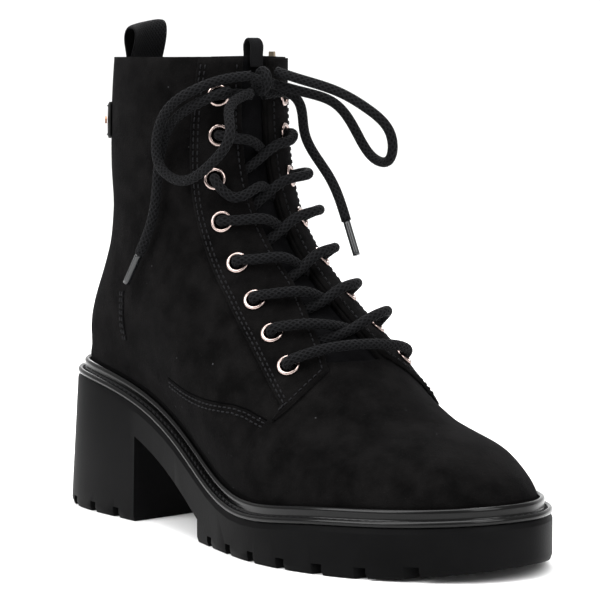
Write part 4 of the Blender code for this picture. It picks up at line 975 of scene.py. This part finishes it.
# Seams: waxed black thread in short even stitches, in rows along the edges of the panels, and a
# near-black ribbon of painted shade where one hide laps over the next, standing for the groove's
# shade.
THREAD = finish_of("waxed_thread", (0.0065, 0.0065, 0.0075), 0.6, sheen=0.01, shine=0.10)
# Painted shade: near-black colour of the ribbon laid in each lapped seam's groove
SEAM_SHADE = finish_of("seam_groove_shade", (0.0006, 0.0006, 0.0007), 0.95, shine=0.02)


def even_places(points, pitch):
    """Places a pitch apart along a line of points, and the line's direction there."""
    along = np.concatenate([[0], np.cumsum(np.linalg.norm(np.diff(points, axis=0), axis=1))])
    where = np.arange(pitch / 2, along[-1], pitch)
    places = np.stack([np.interp(where, along, points[:, k]) for k in range(3)], -1)
    further = np.stack([np.interp(where + pitch * 0.2, along, points[:, k]) for k in range(3)], -1)
    ahead = further - places
    ahead /= np.maximum(np.linalg.norm(ahead, axis=1, keepdims=True), 1e-9)
    return places, ahead, where / along[-1]


def between(share, rows):
    """Directions at shares of the way down a list of directions, each of length one."""
    known = np.linspace(0, 1, len(rows))
    found = np.stack([np.interp(share, known, rows[:, k]) for k in range(3)], -1)
    return found / np.linalg.norm(found, axis=1, keepdims=True)


STITCH_PITCH = 0.0027
STITCH_LENGTH = 0.0020
STITCH_RADIUS = 0.00032


def stitch_row(name, points, normals, pitch=STITCH_PITCH, long=STITCH_LENGTH, wide=STITCH_RADIUS):
    """A row of stitches: each a short six-sided spindle that lies along the line and sinks a
    little at both ends."""
    places, ahead, share = even_places(points, pitch)
    up = between(share, normals)
    aside = np.cross(up, ahead)
    run = np.array([-0.5, -0.3, 0.3, 0.5])
    thick = np.array([0.35, 1.0, 1.0, 0.35])
    sink = np.array([-0.8, 0.25, 0.25, -0.8])
    sides = 6
    turn = 2 * math.pi * np.arange(sides) / sides
    rise = sink[:, None] + thick[:, None] * np.sin(turn)
    points_out = (
        places[:, None, None]
        + ahead[:, None, None] * (run * long)[None, :, None, None]
        + up[:, None, None] * (rise * wide)[None, :, :, None]
        + aside[:, None, None] * (thick[:, None] * np.cos(turn) * wide)[None, :, :, None]
    )
    faces = []
    for i in range(len(places)):
        start = i * 4 * sides
        faces += grid_faces(4, sides, start, around=True)
        faces.append(tuple(range(start + sides - 1, start - 1, -1)))
        faces.append(tuple(range(start + 3 * sides, start + 4 * sides)))
    made = new_mesh(name, world(points_out.reshape(-1, 3)), faces, THREAD)
    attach(made, "boot")
    return made


def line_on_last(stations, across, over):
    """A line at a height over the last, and the outward normals along it."""
    stations = np.asarray(stations, float)
    across = np.asarray(across, float)[:, None]
    normals = surface_normals(stations, across)[:, 0]
    return surface(stations, across)[:, 0] + normals * over, normals


def seam_on_last(name, knots, over, rows_at=(0.0016, 0.0034), wide=0.00028):
    """A lapped seam through places of (station, across): a near-black line of painted shade in the
    lap's groove, and stitches beside it.
    """
    knots = np.array(knots)
    run = np.linspace(0, len(knots) - 1, 60)
    stations = np.interp(run, np.arange(len(knots)), knots[:, 0])
    across = np.interp(run, np.arange(len(knots)), knots[:, 1]) * SHAFT_WIDTH
    line, normals = line_on_last(stations, across, over)
    line += normals * crease_relief(line)[:, None]
    # Painted shade: a thin near-black ribbon along the lap's groove, where the upper hide's edge
    # would shade it
    edge = cord_surface(f"{name}_edge", line, wide, SEAM_SHADE, sides=6)
    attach(edge, "boot")
    ahead = np.gradient(line, axis=0)
    ahead /= np.linalg.norm(ahead, axis=1, keepdims=True)
    aside = np.cross(ahead, normals)
    for i, away in enumerate(rows_at):
        stitch_row(f"{name}_stitches_{i + 1}", line + aside * away + normals * 0.0001, normals)


seam_on_last("quarter_seam", (
    (9.42, -1.90), (9.60, -1.63), (9.70, -1.47), (9.80, -1.21), (9.95, -1.13), (10.35, -1.06),
), 0.0)
seam_on_last("heel_seam", (
    (5.95, -1.68), (6.60, -1.82), (7.20, -1.97), (7.75, -2.11), (8.60, -2.30),
), 0.0)
seam_on_last("medial_seam", (
    (9.42, 1.90), (9.60, 1.63), (9.70, 1.47), (9.80, 1.21), (9.95, 1.05), (10.20, 0.80),
), 0.0)
seam_on_last("medial_heel_seam", (
    (5.95, 1.68), (6.60, 1.82), (7.20, 1.97), (7.75, 2.11), (8.60, 2.30),
), 0.0)


# Facings: two suede panels laid on the upper beside the throat, each with eight eyelets and a
# flap that ends in a point. Their edges are turned under and sewn down with one front row and
# two rear rows.
FLAPS = {-1: (8.70, 10.45, 1.030), 1: (8.35, 10.30, 0.638)}


def facing_edges(stations, side):
    """Front and rear edge of a facing at stations down the last."""
    start, end, tip = FLAPS[side]
    lower = np.clip((stations - start) / (end - start), 0, 1)
    edge = throat_edge(np.minimum(stations, start), side) + FIT
    front = edge + (tip * SHAFT_WIDTH - edge) * lower
    known = [row[0] for row in FACING_REAR]
    shares = [row[1 if side < 0 else 2] for row in FACING_REAR]
    rear = np.interp(stations, known, shares) * SHAFT_WIDTH
    return front, np.maximum(rear, front + 3 * FIT)


def shell_between(name, low, high, finish):
    """A closed sheet between two grids of points: both skins and the rims that join them."""
    rows, columns = low.shape[:2]
    half = rows * columns
    faces = grid_faces(rows, columns) + grid_faces(rows, columns, half, flip=True)
    rim = np.concatenate([
        np.arange(columns),
        np.arange(1, rows) * columns + columns - 1,
        (rows - 1) * columns + np.arange(columns - 2, -1, -1),
        np.arange(rows - 2, 0, -1) * columns,
    ])
    after = np.roll(rim, -1)
    faces += np.stack([rim, rim + half, after + half, after], -1).tolist()
    points = np.concatenate([high.reshape(-1, 3), low.reshape(-1, 3)])
    return new_mesh(name, world(points), faces, finish)


# The turned edge's radius, how far behind each edge its stitches run, and the groove they pull
EDGE_ROLL = 0.0010
FRONT_SEWN = 0.0026
REAR_SEWN = 0.0018
SEWN_HALF_WIDTH = 0.0006
SEWN_DEPTH = 0.00022
for side, word in ((-1, "lateral"), (1, "medial")):
    end = FLAPS[side][1]
    stations = np.linspace(0.02, end - 0.03, 110)
    front, rear = facing_edges(stations, side)
    share = np.linspace(0, 1, 37)[None, :]
    across = side * (front[:, None] + (rear - front)[:, None] * share)
    wide = (rear - front)[:, None]
    from_edge = np.minimum(share, 1 - share) * wide
    rolled = FACING_THICKNESS * 0.55 * np.exp(-((from_edge / EDGE_ROLL) ** 2))
    front_row = np.exp(-(((share * wide - FRONT_SEWN) / SEWN_HALF_WIDTH) ** 2))
    rear_row = np.exp(-((((1 - share) * wide - REAR_SEWN) / SEWN_HALF_WIDTH) ** 2))
    sewn = SEWN_DEPTH * (front_row + rear_row)
    base = surface(stations, across)
    normals = surface_normals(stations, across)
    swell = 0.00010 * np.sin(base[..., 0] * 420) * np.sin(base[..., 2] * 380)
    high = base + normals * (FACING_TOP - rolled - sewn + swell)[..., None]
    low = base + normals * FIT
    facing = shell_between(f"facing_panel_{word}", low, high, SUEDE_NAP)
    if side > 0:
        facing.data.flip_normals()
        cut_with(facing, [dip_tool("dip_facing"), drill_set("facing_holes_1", side)])
    else:
        cut_with(facing, [drill_set("facing_holes", side)])
    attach(facing, "boot")
    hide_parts(f"facing_{word}")
    sewn_rows = stations[(stations > 0.1) & (stations < end - 0.35)]
    if side > 0:
        sewn_rows = sewn_rows[sewn_rows > 0.62]
    front, rear = facing_edges(sewn_rows, side)
    for i, line_at in enumerate((front + FRONT_SEWN, rear - REAR_SEWN, rear - 2 * REAR_SEWN)):
        fits = line_at > front + 0.0020
        line, normals = line_on_last(sewn_rows[fits], side * line_at[fits], FACING_TOP)
        stitch_row(f"facing_{word}_stitches_{i + 1}", line, normals)


# Eyelets: nickel-plated brass, pressed through facing and upper, with a rounded flange.
EYELET_SEAT = 0.0003
NICKEL = finish_of("nickel_plate", (0.40, 0.315, 0.29), 0.17, metallic=1.0)
RING_SIDES = 36
RING_PROFILE = [(EYELET_HOLE, -FACING_TOP - UPPER_WALL * 0.8), (EYELET_HOLE, 0.0)]
for turn in np.linspace(math.pi, 0, 9):
    middle_radius = (EYELET_HOLE + EYELET_RADIUS) / 2
    RING_PROFILE.append((
        middle_radius + (EYELET_RADIUS - EYELET_HOLE) / 2 * math.cos(turn),
        EYELET_SEAT + (EYELET_HEIGHT - EYELET_SEAT) * math.sin(turn),
    ))
RING_PROFILE.append((EYELET_HOLE + EYELET_WALL, EYELET_SEAT))
RING_PROFILE.append((EYELET_HOLE + EYELET_WALL, -FACING_TOP - UPPER_WALL * 0.8))
for side, word in ((-1, "lateral"), (1, "medial")):
    for row in range(len(EYELET_ROWS)):
        middle, axis = eyelet_frame(row, side)
        ring = ring_about(middle, axis, RING_PROFILE + RING_PROFILE[:1], RING_SIDES)
        ring_faces = grid_faces(len(RING_PROFILE) + 1, RING_SIDES, around=True, flip=True)
        name = f"eyelet_ring_{word}_{row + 1}"
        eyelet = new_mesh(name, world(ring.reshape(-1, 3)), ring_faces, NICKEL)
        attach(eyelet, "boot")
        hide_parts(f"eyelet_{word}_{row + 1}")


# Tongue: padded cloth-faced suede behind the laces, sewn in at the throat's foot, with a narrow
# ribbed band folded over its top edge. Its face is plain.
TONGUE_THICKNESS = 0.0022
TONGUE_OVERLAP = 0.014
TONGUE_ROOT = 0.4
LOOP_HEIGHT = 0.0140
TAB_WIDTH = 0.0068
TAB_HEIGHT = 0.0072
TAB_DEPTH = 0.0070
TAB_THICKNESS = 0.0012
TONGUE_FACE = finish_of("tongue_face", (0.003, 0.003, 0.003), 0.9, sheen=0.012, shine=0.02)
add_grain(TONGUE_FACE, (0.0014, 0.0014, 0.0016), (0.0045, 0.0045, 0.0050), 70.0, 900.0, 0.5)
stations = np.linspace(0.0, THROAT_END + TONGUE_ROOT - 0.02, 60)
share = np.linspace(-1, 1, 41)[None, :]
lateral = (throat_edge(stations, -1) + TONGUE_OVERLAP)[:, None]
medial = (throat_edge(stations, 1) + TONGUE_OVERLAP)[:, None]
across = np.where(share < 0, share * lateral, share * medial)
base = surface(stations, across)
normals = surface_normals(stations, across)
top = -UPPER_WALL - TONGUE_ROOM
dimple = 0.0004 * np.sin(base[..., 2] * 300) * np.cos(across * 240)
back_skin = base + normals * (top - TONGUE_THICKNESS)
front_skin = base + normals * (top + np.minimum(dimple, 0))[..., None]
tongue = shell_between("tongue_flap", back_skin, front_skin, TONGUE_FACE)
cut_with(tongue, [dip_tool("dip_tongue")])
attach(tongue, "boot")
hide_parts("tongue")

WEBBING_RIB = finish_of("ribbed_webbing", (0.006, 0.006, 0.006), 0.85, sheen=0.015, shine=0.04)
# The braid's darker tone is painted shade in the grooves between the webbing's ribs
add_braid(WEBBING_RIB, (0.0025, 0.0025, 0.0027), (0.0085, 0.0085, 0.0092), 14.0, 14.0, 0.8)


def band(name, path, width, thickness, finish, place, slant=0.0, columns=17):
    """A woven band bent along a smooth path of (depth, height): a flat closed tube, so four
    skins between two edges that are a little rounded, with its UV in widths of the band."""
    path = np.asarray(path, float)
    along = np.concatenate([[0], np.cumsum(np.linalg.norm(np.diff(path, axis=0), axis=1))])
    rows = 60
    fine = np.linspace(0, along[-1], rows)
    path = np.stack([natural_spline(fine, along, path[:, k]) for k in range(2)], -1)
    ahead = np.gradient(path, axis=0)
    ahead /= np.linalg.norm(ahead, axis=1, keepdims=True)
    aside = np.stack([-ahead[:, 1], ahead[:, 0]], -1)
    shares = np.linspace(-1, 1, columns)
    edge = thickness / 2 * np.sqrt(np.clip(1 - np.abs(shares) ** 12, 0.12, 1))
    skins = []
    for half in (1, -1):
        grid = []
        for spot, turn in zip(path, aside):
            line = spot + turn * half * edge[:, None]
            rise = slant * np.clip((line[:, 1] - COLLAR_HEIGHT) / LOOP_HEIGHT, 0, 1)
            high = line[:, 1] + rise * shares
            grid.append([place(line[k, 0], shares[k], high[k]) for k in range(columns)])
        skins.append(np.array(grid))
    made = shell_between(name, skins[0], skins[1], finish)
    layer_uv = made.data.uv_layers.new(name="run")
    loops = np.empty(len(made.data.loops), np.int64)
    made.data.loops.foreach_get("vertex_index", loops)
    spot = loops % (rows * columns)
    uv_across = (spot % columns) / (columns - 1)
    uv_along = (spot // columns) / (rows - 1) * along[-1] / width
    uv = np.stack([uv_across, uv_along], -1)
    layer_uv.data.foreach_set("uv", uv.astype(np.float32).ravel())
    return made


def place_tab(depth, share, high):
    """A place on the tongue's band: at a depth over the last, high up its front."""
    middle = (THROAT_MEDIAL - THROAT_LATERAL) / 2 + TAB_WIDTH * 0.2
    return on_last(0.0, middle + share * TAB_WIDTH / 2, depth) * (1, 1, 0) + (0, 0, high)


under = UPPER_WALL + TONGUE_ROOM
outside = -under + 3 * FIT + TAB_THICKNESS / 2
inside = -under - TONGUE_THICKNESS - 3 * FIT - TAB_THICKNESS / 2
tab = band("tongue_band", (
    (inside, COLLAR_HEIGHT - TAB_DEPTH),
    (inside, COLLAR_HEIGHT + TAB_HEIGHT * 0.3),
    (inside + TAB_THICKNESS * 0.1, COLLAR_HEIGHT + TAB_HEIGHT * 0.75),
    ((outside + inside) / 2, COLLAR_HEIGHT + TAB_HEIGHT),
    (outside - TAB_THICKNESS * 0.1, COLLAR_HEIGHT + TAB_HEIGHT * 0.75),
    (outside, COLLAR_HEIGHT + TAB_HEIGHT * 0.3),
    (outside, COLLAR_HEIGHT - TAB_DEPTH * 0.6),
), TAB_WIDTH, TAB_THICKNESS, WEBBING_RIB, place_tab)
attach(tab, "boot")
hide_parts("tongue_tab")


# Pull loop: one length of the same webbing, folded and sewn inside the back of the collar.
LOOP_WIDTH = 0.0225
LOOP_OFFSET = -0.0055
LOOP_DEPTH = 0.012
LOOP_THICKNESS = 0.0014
LOOP_SLANT = 0.0018
loop_back, loop_front = rib_points(np.array([0.0]), -1)[0][[-1, 0], 0]


def place_loop(depth, share, high):
    """A place on the loop: its legs follow the inner wall's curve round the heel."""
    medial = share * LOOP_WIDTH / 2 + LOOP_OFFSET
    half = SHAFT_WIDTH / 2 - UPPER_WALL - LOOP_THICKNESS
    length = (loop_front - loop_back) / 2 - UPPER_WALL
    curve = length * (1 - math.sqrt(1 - (medial / half) ** 2))
    return (loop_back + UPPER_WALL + depth + curve, medial, high)


near = LOOP_THICKNESS * 0.5 + 2 * FIT
top = COLLAR_HEIGHT + LOOP_HEIGHT
pull_loop = band("pull_loop_webbing", (
    (near, COLLAR_HEIGHT - LOOP_DEPTH),
    (near, COLLAR_HEIGHT),
    (near - LOOP_THICKNESS * 0.7, COLLAR_HEIGHT + LOOP_HEIGHT * 0.35),
    (near - LOOP_THICKNESS * 1.0, COLLAR_HEIGHT + LOOP_HEIGHT * 0.70),
    (near + LOOP_THICKNESS * 0.3, top - LOOP_THICKNESS * 0.5),
    (near + LOOP_THICKNESS * 2.2, top),
    (near + LOOP_THICKNESS * 3.9, top - LOOP_THICKNESS * 0.9),
    (near + LOOP_THICKNESS * 4.3, COLLAR_HEIGHT + LOOP_HEIGHT * 0.66),
    (near + LOOP_THICKNESS * 3.2, COLLAR_HEIGHT + LOOP_HEIGHT * 0.25),
    (near + LOOP_THICKNESS * 1.9, COLLAR_HEIGHT - LOOP_THICKNESS),
    (near + LOOP_THICKNESS * 1.6, COLLAR_HEIGHT - LOOP_DEPTH),
), LOOP_WIDTH, LOOP_THICKNESS, WEBBING_RIB, place_loop, LOOP_SLANT)
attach(pull_loop, "boot")
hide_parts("pull_loop")


# Back tag: a smooth leather patch sewn round the back of the shaft, plain, with one small
# copper-plated stud near each end.
TAG_WIDTH = 0.060
TAG_THICKNESS = 0.0012
TAG_HIDE = finish_of("tag_hide", (0.003, 0.003, 0.003), 0.5, coat=0.02, shine=0.08)
COPPER_PLATE = finish_of("copper_plate", (0.36, 0.19, 0.12), 0.32, metallic=1.0)
stations = np.linspace(0.80, 1.45, 14)
half = TAG_WIDTH / 2
from_back = np.linspace(-1, 1, 61)
reach = {side: rib_reach(stations, side)[:, None] for side in (-1, 1)}
across = np.where(from_back < 0, -reach[-1] - half * from_back, reach[1] - half * from_back)
base = surface(stations, across)
normals = surface_normals(stations, across)
rim = np.minimum(1 - np.abs(from_back)[None, :], 1 - np.abs(np.linspace(-1, 1, 14))[:, None] * 0.96)
crown = TAG_THICKNESS * (1 - 0.6 * np.exp(-((rim / 0.06) ** 2)))
inner_skin = base + normals * FIT
outer_skin = base + normals * (FIT + crown)[..., None]
tag = shell_between("back_tag_leather", inner_skin, outer_skin, TAG_HIDE)
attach(tag, "boot")
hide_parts("back_tag")
for i, station in enumerate((0.87, 1.38)):
    for side in (-1, 1):
        run = np.linspace(TAG_WIDTH / 2 - 0.002, 0.0005, 40)
        row_across = side * (rib_reach([station], side)[0] - run)
        line, normals = line_on_last(np.full(len(run), station), row_across, FIT + TAG_THICKNESS)
        stitch_row(f"tag_stitches_{i + 1}_{'l' if side < 0 else 'm'}", line, normals)
for word in ("lateral", "medial"):
    stud = frame["nodes"][f"stud_{word}"]
    stud.data.materials.clear()
    stud.data.materials.append(COPPER_PLATE)
    round_off = stud.modifiers.new("round", "BEVEL")
    round_off.width = 0.00025
    round_off.segments = 2


# Zip: a closed chain on the medial side, black tape with antique brass teeth, a slider that
# stays at the top, and a pull tab that turns on it.
ZIP_WIDTH = 0.0076
ZIP_THICKNESS = 0.0012
ZIP_END = 8.6
ANTIQUE_BRASS = finish_of("antique_brass_metal", (0.40, 0.33, 0.24), 0.36, metallic=1.0)
TAPE = finish_of("zip_tape_cloth", (0.006, 0.006, 0.007), 0.85, sheen=0.03, shine=0.1)
add_grain(TAPE, (0.007, 0.007, 0.008), (0.020, 0.020, 0.022), 240.0, 2600.0, 0.6)
for name, finish in (
    ("zip_chain", TAPE),
    ("zip_slider", ANTIQUE_BRASS),
    ("zip_pull", ANTIQUE_BRASS),
):
    node = frame["nodes"][name]
    node.data.materials.clear()
    node.data.materials.append(finish)
    if finish is ANTIQUE_BRASS:
        round_off = node.modifiers.new("round", "BEVEL")
        round_off.width = 0.00022
        round_off.segments = 2


def across_at(stations, forward, side):
    """Distance from the ridge at which each station's rib passes a place along the boot."""
    ribs = rib_points(np.asarray(stations, float), side)
    lengths = rib_lengths(ribs)
    return np.array([np.interp(-forward, -ribs[i, :, 0], lengths[i]) for i in range(len(ribs))])


TOOTH_PITCH = 0.0019
TOOTH_SHIFT = 0.0006
TOOTH_REACH = 0.0013
TOOTH_HALF = 0.00055
chain_stations = np.linspace(0.75, ZIP_END, 200)
chain_across = across_at(chain_stations, ZIP_PLACE, 1)
chain_line, chain_normals = line_on_last(chain_stations, chain_across, FIT + ZIP_THICKNESS)
places, ahead, share = even_places(chain_line, TOOTH_PITCH)
up = between(share, chain_normals)
aside = np.cross(ahead, up)
shift = np.where(np.arange(len(places)) % 2 == 0, 1, -1)[:, None] * TOOTH_SHIFT
corners = np.array([(x, y, z) for z in (-0.3, 1.0) for x in (-1, 1) for y in (-1, 1)], float)
teeth = (
    (places + aside * shift)[:, None]
    + aside[:, None] * (corners[None, :, :1] * TOOTH_REACH)
    + ahead[:, None] * (corners[None, :, 1:2] * TOOTH_HALF)
    + up[:, None] * (corners[None, :, 2:] * TOOTH_HALF)
)
box_faces = np.array([
    (0, 1, 3, 2), (4, 6, 7, 5), (0, 4, 5, 1), (2, 3, 7, 6), (0, 2, 6, 4), (1, 5, 7, 3),
])
teeth_faces = (box_faces[None] + 8 * np.arange(len(places))[:, None, None]).reshape(-1, 4).tolist()
teeth_points = world(teeth.reshape(-1, 3))
zip_teeth = new_mesh("zip_teeth", teeth_points, teeth_faces, ANTIQUE_BRASS, smooth=False)
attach(zip_teeth, "boot")
for side in (-1, 1):
    beside = chain_across + side * (ZIP_WIDTH / 2 + 0.0016)
    line, normals = line_on_last(chain_stations, beside, 0.0)
    stitch_row(f"zip_stitches_{'front' if side < 0 else 'rear'}", line, normals)


# Welt strip: glossy moulded rubber round the sole's top, with two beads and a sewn groove.
SIDE_STEP = 0.0008
WELT_BEAD = 0.0015
GLOSS_RUBBER = finish_of("gloss_rubber", (0.0015, 0.0015, 0.0015), 0.2, coat=0.10, shine=0.16)
add_grain(GLOSS_RUBBER, (0.0012, 0.0012, 0.0012), (0.0022, 0.0022, 0.0023), 30.0, 700.0, 0.05)
WELT_KNOTS = (
    # inset, height over the sole's top
    (SIDE_STEP + FIT, FIT),
    (SIDE_STEP - WELT_BEAD * 0.30, WELT_BEAD * 0.20),
    (SIDE_STEP - WELT_BEAD * 0.50, WELT_BEAD * 0.70),
    (SIDE_STEP - WELT_BEAD * 0.42, WELT_BEAD * 1.25),
    (SIDE_STEP - WELT_BEAD * 0.05, WELT_BEAD * 1.75),
    (WELT_WIDTH * 0.26, WELT_BEAD * 1.80),
    (WELT_WIDTH * 0.38, WELT_BEAD * 1.45),
    (WELT_WIDTH * 0.48, WELT_BEAD * 1.30),
    (WELT_WIDTH * 0.58, WELT_BEAD * 1.55),
    (WELT_WIDTH * 0.62, WELT_BEAD * 2.10),
    (WELT_WIDTH * 0.60, WELT_HEIGHT - WELT_BEAD * 1.50),
    (WELT_WIDTH * 0.58, WELT_HEIGHT - WELT_BEAD * 0.90),
    (WELT_WIDTH * 0.64, WELT_HEIGHT - WELT_BEAD * 0.35),
    (WELT_WIDTH * 0.78, WELT_HEIGHT),
    (WELT_WIDTH * 0.92, WELT_HEIGHT - WELT_BEAD * 0.15),
    (WELT_WIDTH, WELT_HEIGHT - WELT_BEAD * 0.6),
    (WELT_WIDTH, FIT),
)


def sole_ring(angles, inset, high):
    """The whole outline of the sole as one closed ring, lateral side forward and medial back."""
    lateral = outline(angles, -1, inset)
    medial = outline(angles[::-1][1:-1], 1, inset)
    ring = np.concatenate([lateral, medial])
    return np.concatenate([ring, sole_top(ring[:, 0])[:, None] + high], 1)


ring_angles = np.linspace(0, math.pi, 141)
closed_profile = WELT_KNOTS + WELT_KNOTS[:1]
rings = np.array([sole_ring(ring_angles, inset, high) for inset, high in closed_profile])
rows, columns = rings.shape[:2]
welt_faces = grid_faces(rows, columns, around=True)
welt = new_mesh("welt_strip", world(rings.reshape(-1, 3)), welt_faces, GLOSS_RUBBER)
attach(welt, "boot")
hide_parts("welt")
groove = sole_ring(ring_angles, WELT_WIDTH * 0.48, WELT_BEAD * 1.42)
groove = np.concatenate([groove, groove[:1]])
straight_up = np.tile((0.0, 0.0, 1.0), (len(groove), 1))
stitch_row("welt_stitches", groove, straight_up, pitch=0.0034, long=0.0024, wide=0.00042)


# Outsole: one moulding of dull black rubber, and the insole over it. The moulding's corners are
# slightly rounded, and its face has the fine tooth of the mould.
DULL_RUBBER = finish_of("dull_rubber", (0.003, 0.003, 0.003), 0.5, shine=0.035)
add_grain(DULL_RUBBER, (0.0021, 0.0021, 0.0022), (0.0036, 0.0036, 0.0038), 26.0, 1500.0, 0.18)
SOCK_CLOTH = finish_of("sock_cloth", (0.03, 0.028, 0.026), 0.85, sheen=0.3)
add_grain(SOCK_CLOTH, (0.022, 0.020, 0.019), (0.040, 0.037, 0.034), 120.0, 1600.0, 0.3)


def rounded_copy(node_name, name, finish, width):
    """A copy of a solid's mesh with its corners merged, its curved faces smooth, and every
    corner of more than 30 degrees rounded a little."""
    mesh = frame["nodes"][node_name].data.copy()
    work = bmesh.new()
    work.from_mesh(mesh)
    bmesh.ops.remove_doubles(work, verts=work.verts, dist=0.000002)
    bmesh.ops.dissolve_limit(work, angle_limit=0.002, verts=work.verts, edges=work.edges)
    for face in work.faces:
        face.smooth = True
    work.to_mesh(mesh)
    work.free()
    mesh.set_sharp_from_angle(angle=math.radians(30))
    mesh.materials.clear()
    mesh.materials.append(finish)
    made = bpy.data.objects.new(name, mesh)
    bpy.context.scene.collection.objects.link(made)
    made.matrix_world = frame["nodes"][node_name].matrix_world
    corners = made.modifiers.new("corners", "BEVEL")
    corners.width = width
    corners.segments = 2
    corners.limit_method = "ANGLE"
    corners.angle_limit = math.radians(30)
    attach(made, "boot")
    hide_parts(node_name)
    return made


rounded_copy("outsole", "outsole_rubber", DULL_RUBBER, 0.0004)
rounded_copy("insole", "insole_sock", SOCK_CLOTH, 0.0003)

# Stage: a pale floor that runs up behind into a plain backdrop, and large soft lights
PAPER = finish_of("paper", (0.93, 0.93, 0.93), 0.9)
SWEEP_PROFILE = ((-3.0, 0.0), (1.2, 0.0), (1.6, 0.06), (1.9, 0.3), (2.0, 0.8), (2.0, 3.0))
SWEEP_HALF_WIDTH = 3.5
sweep = np.array([
    (x, y, z) for y, z in SWEEP_PROFILE for x in (-SWEEP_HALF_WIDTH, SWEEP_HALF_WIDTH)
])
sweep[:, 2] -= 0.0002
turned_sweep = sweep.copy()
turned_sweep[:, 0] = sweep[:, 0] * math.cos(CAMERA_TURN) + sweep[:, 1] * math.sin(CAMERA_TURN)
turned_sweep[:, 1] = -sweep[:, 0] * math.sin(CAMERA_TURN) + sweep[:, 1] * math.cos(CAMERA_TURN)
floor = new_mesh("floor", turned_sweep, grid_faces(6, 2, flip=True), PAPER)
floor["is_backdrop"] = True


def soft_light(name, turn, rise, away, size, power):
    """A square area light that looks at the boot from a turn and a rise round it."""
    lamp = bpy.data.lights.new(name, "AREA")
    lamp.energy = power
    lamp.size = size
    holder = bpy.data.objects.new(name, lamp)
    bpy.context.scene.collection.objects.link(holder)
    turn, rise = math.radians(turn), math.radians(rise)
    level = away * math.cos(rise)
    high = 0.1 + away * math.sin(rise)
    holder.location = (-level * math.sin(turn), -level * math.cos(turn), high)
    holder.rotation_euler = (math.pi / 2 - rise, 0.0, -turn)


soft_light("light_left", 95, 38, 1.3, 0.9, 16)
soft_light("light_front", 5, 35, 1.4, 0.8, 9)
soft_light("light_top", 40, 82, 1.2, 1.0, 16)
soft_light("light_back", 215, 35, 1.4, 0.8, 12)
air = bpy.data.worlds.new("studio")
air.use_nodes = True
air.node_tree.nodes["Background"].inputs["Color"].default_value = (1.0, 1.0, 1.0, 1.0)
air.node_tree.nodes["Background"].inputs["Strength"].default_value = 0.65
bpy.context.scene.world = air
bpy.context.scene.view_settings.view_transform = "Standard"

# Size of the dressed part's box
low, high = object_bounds()
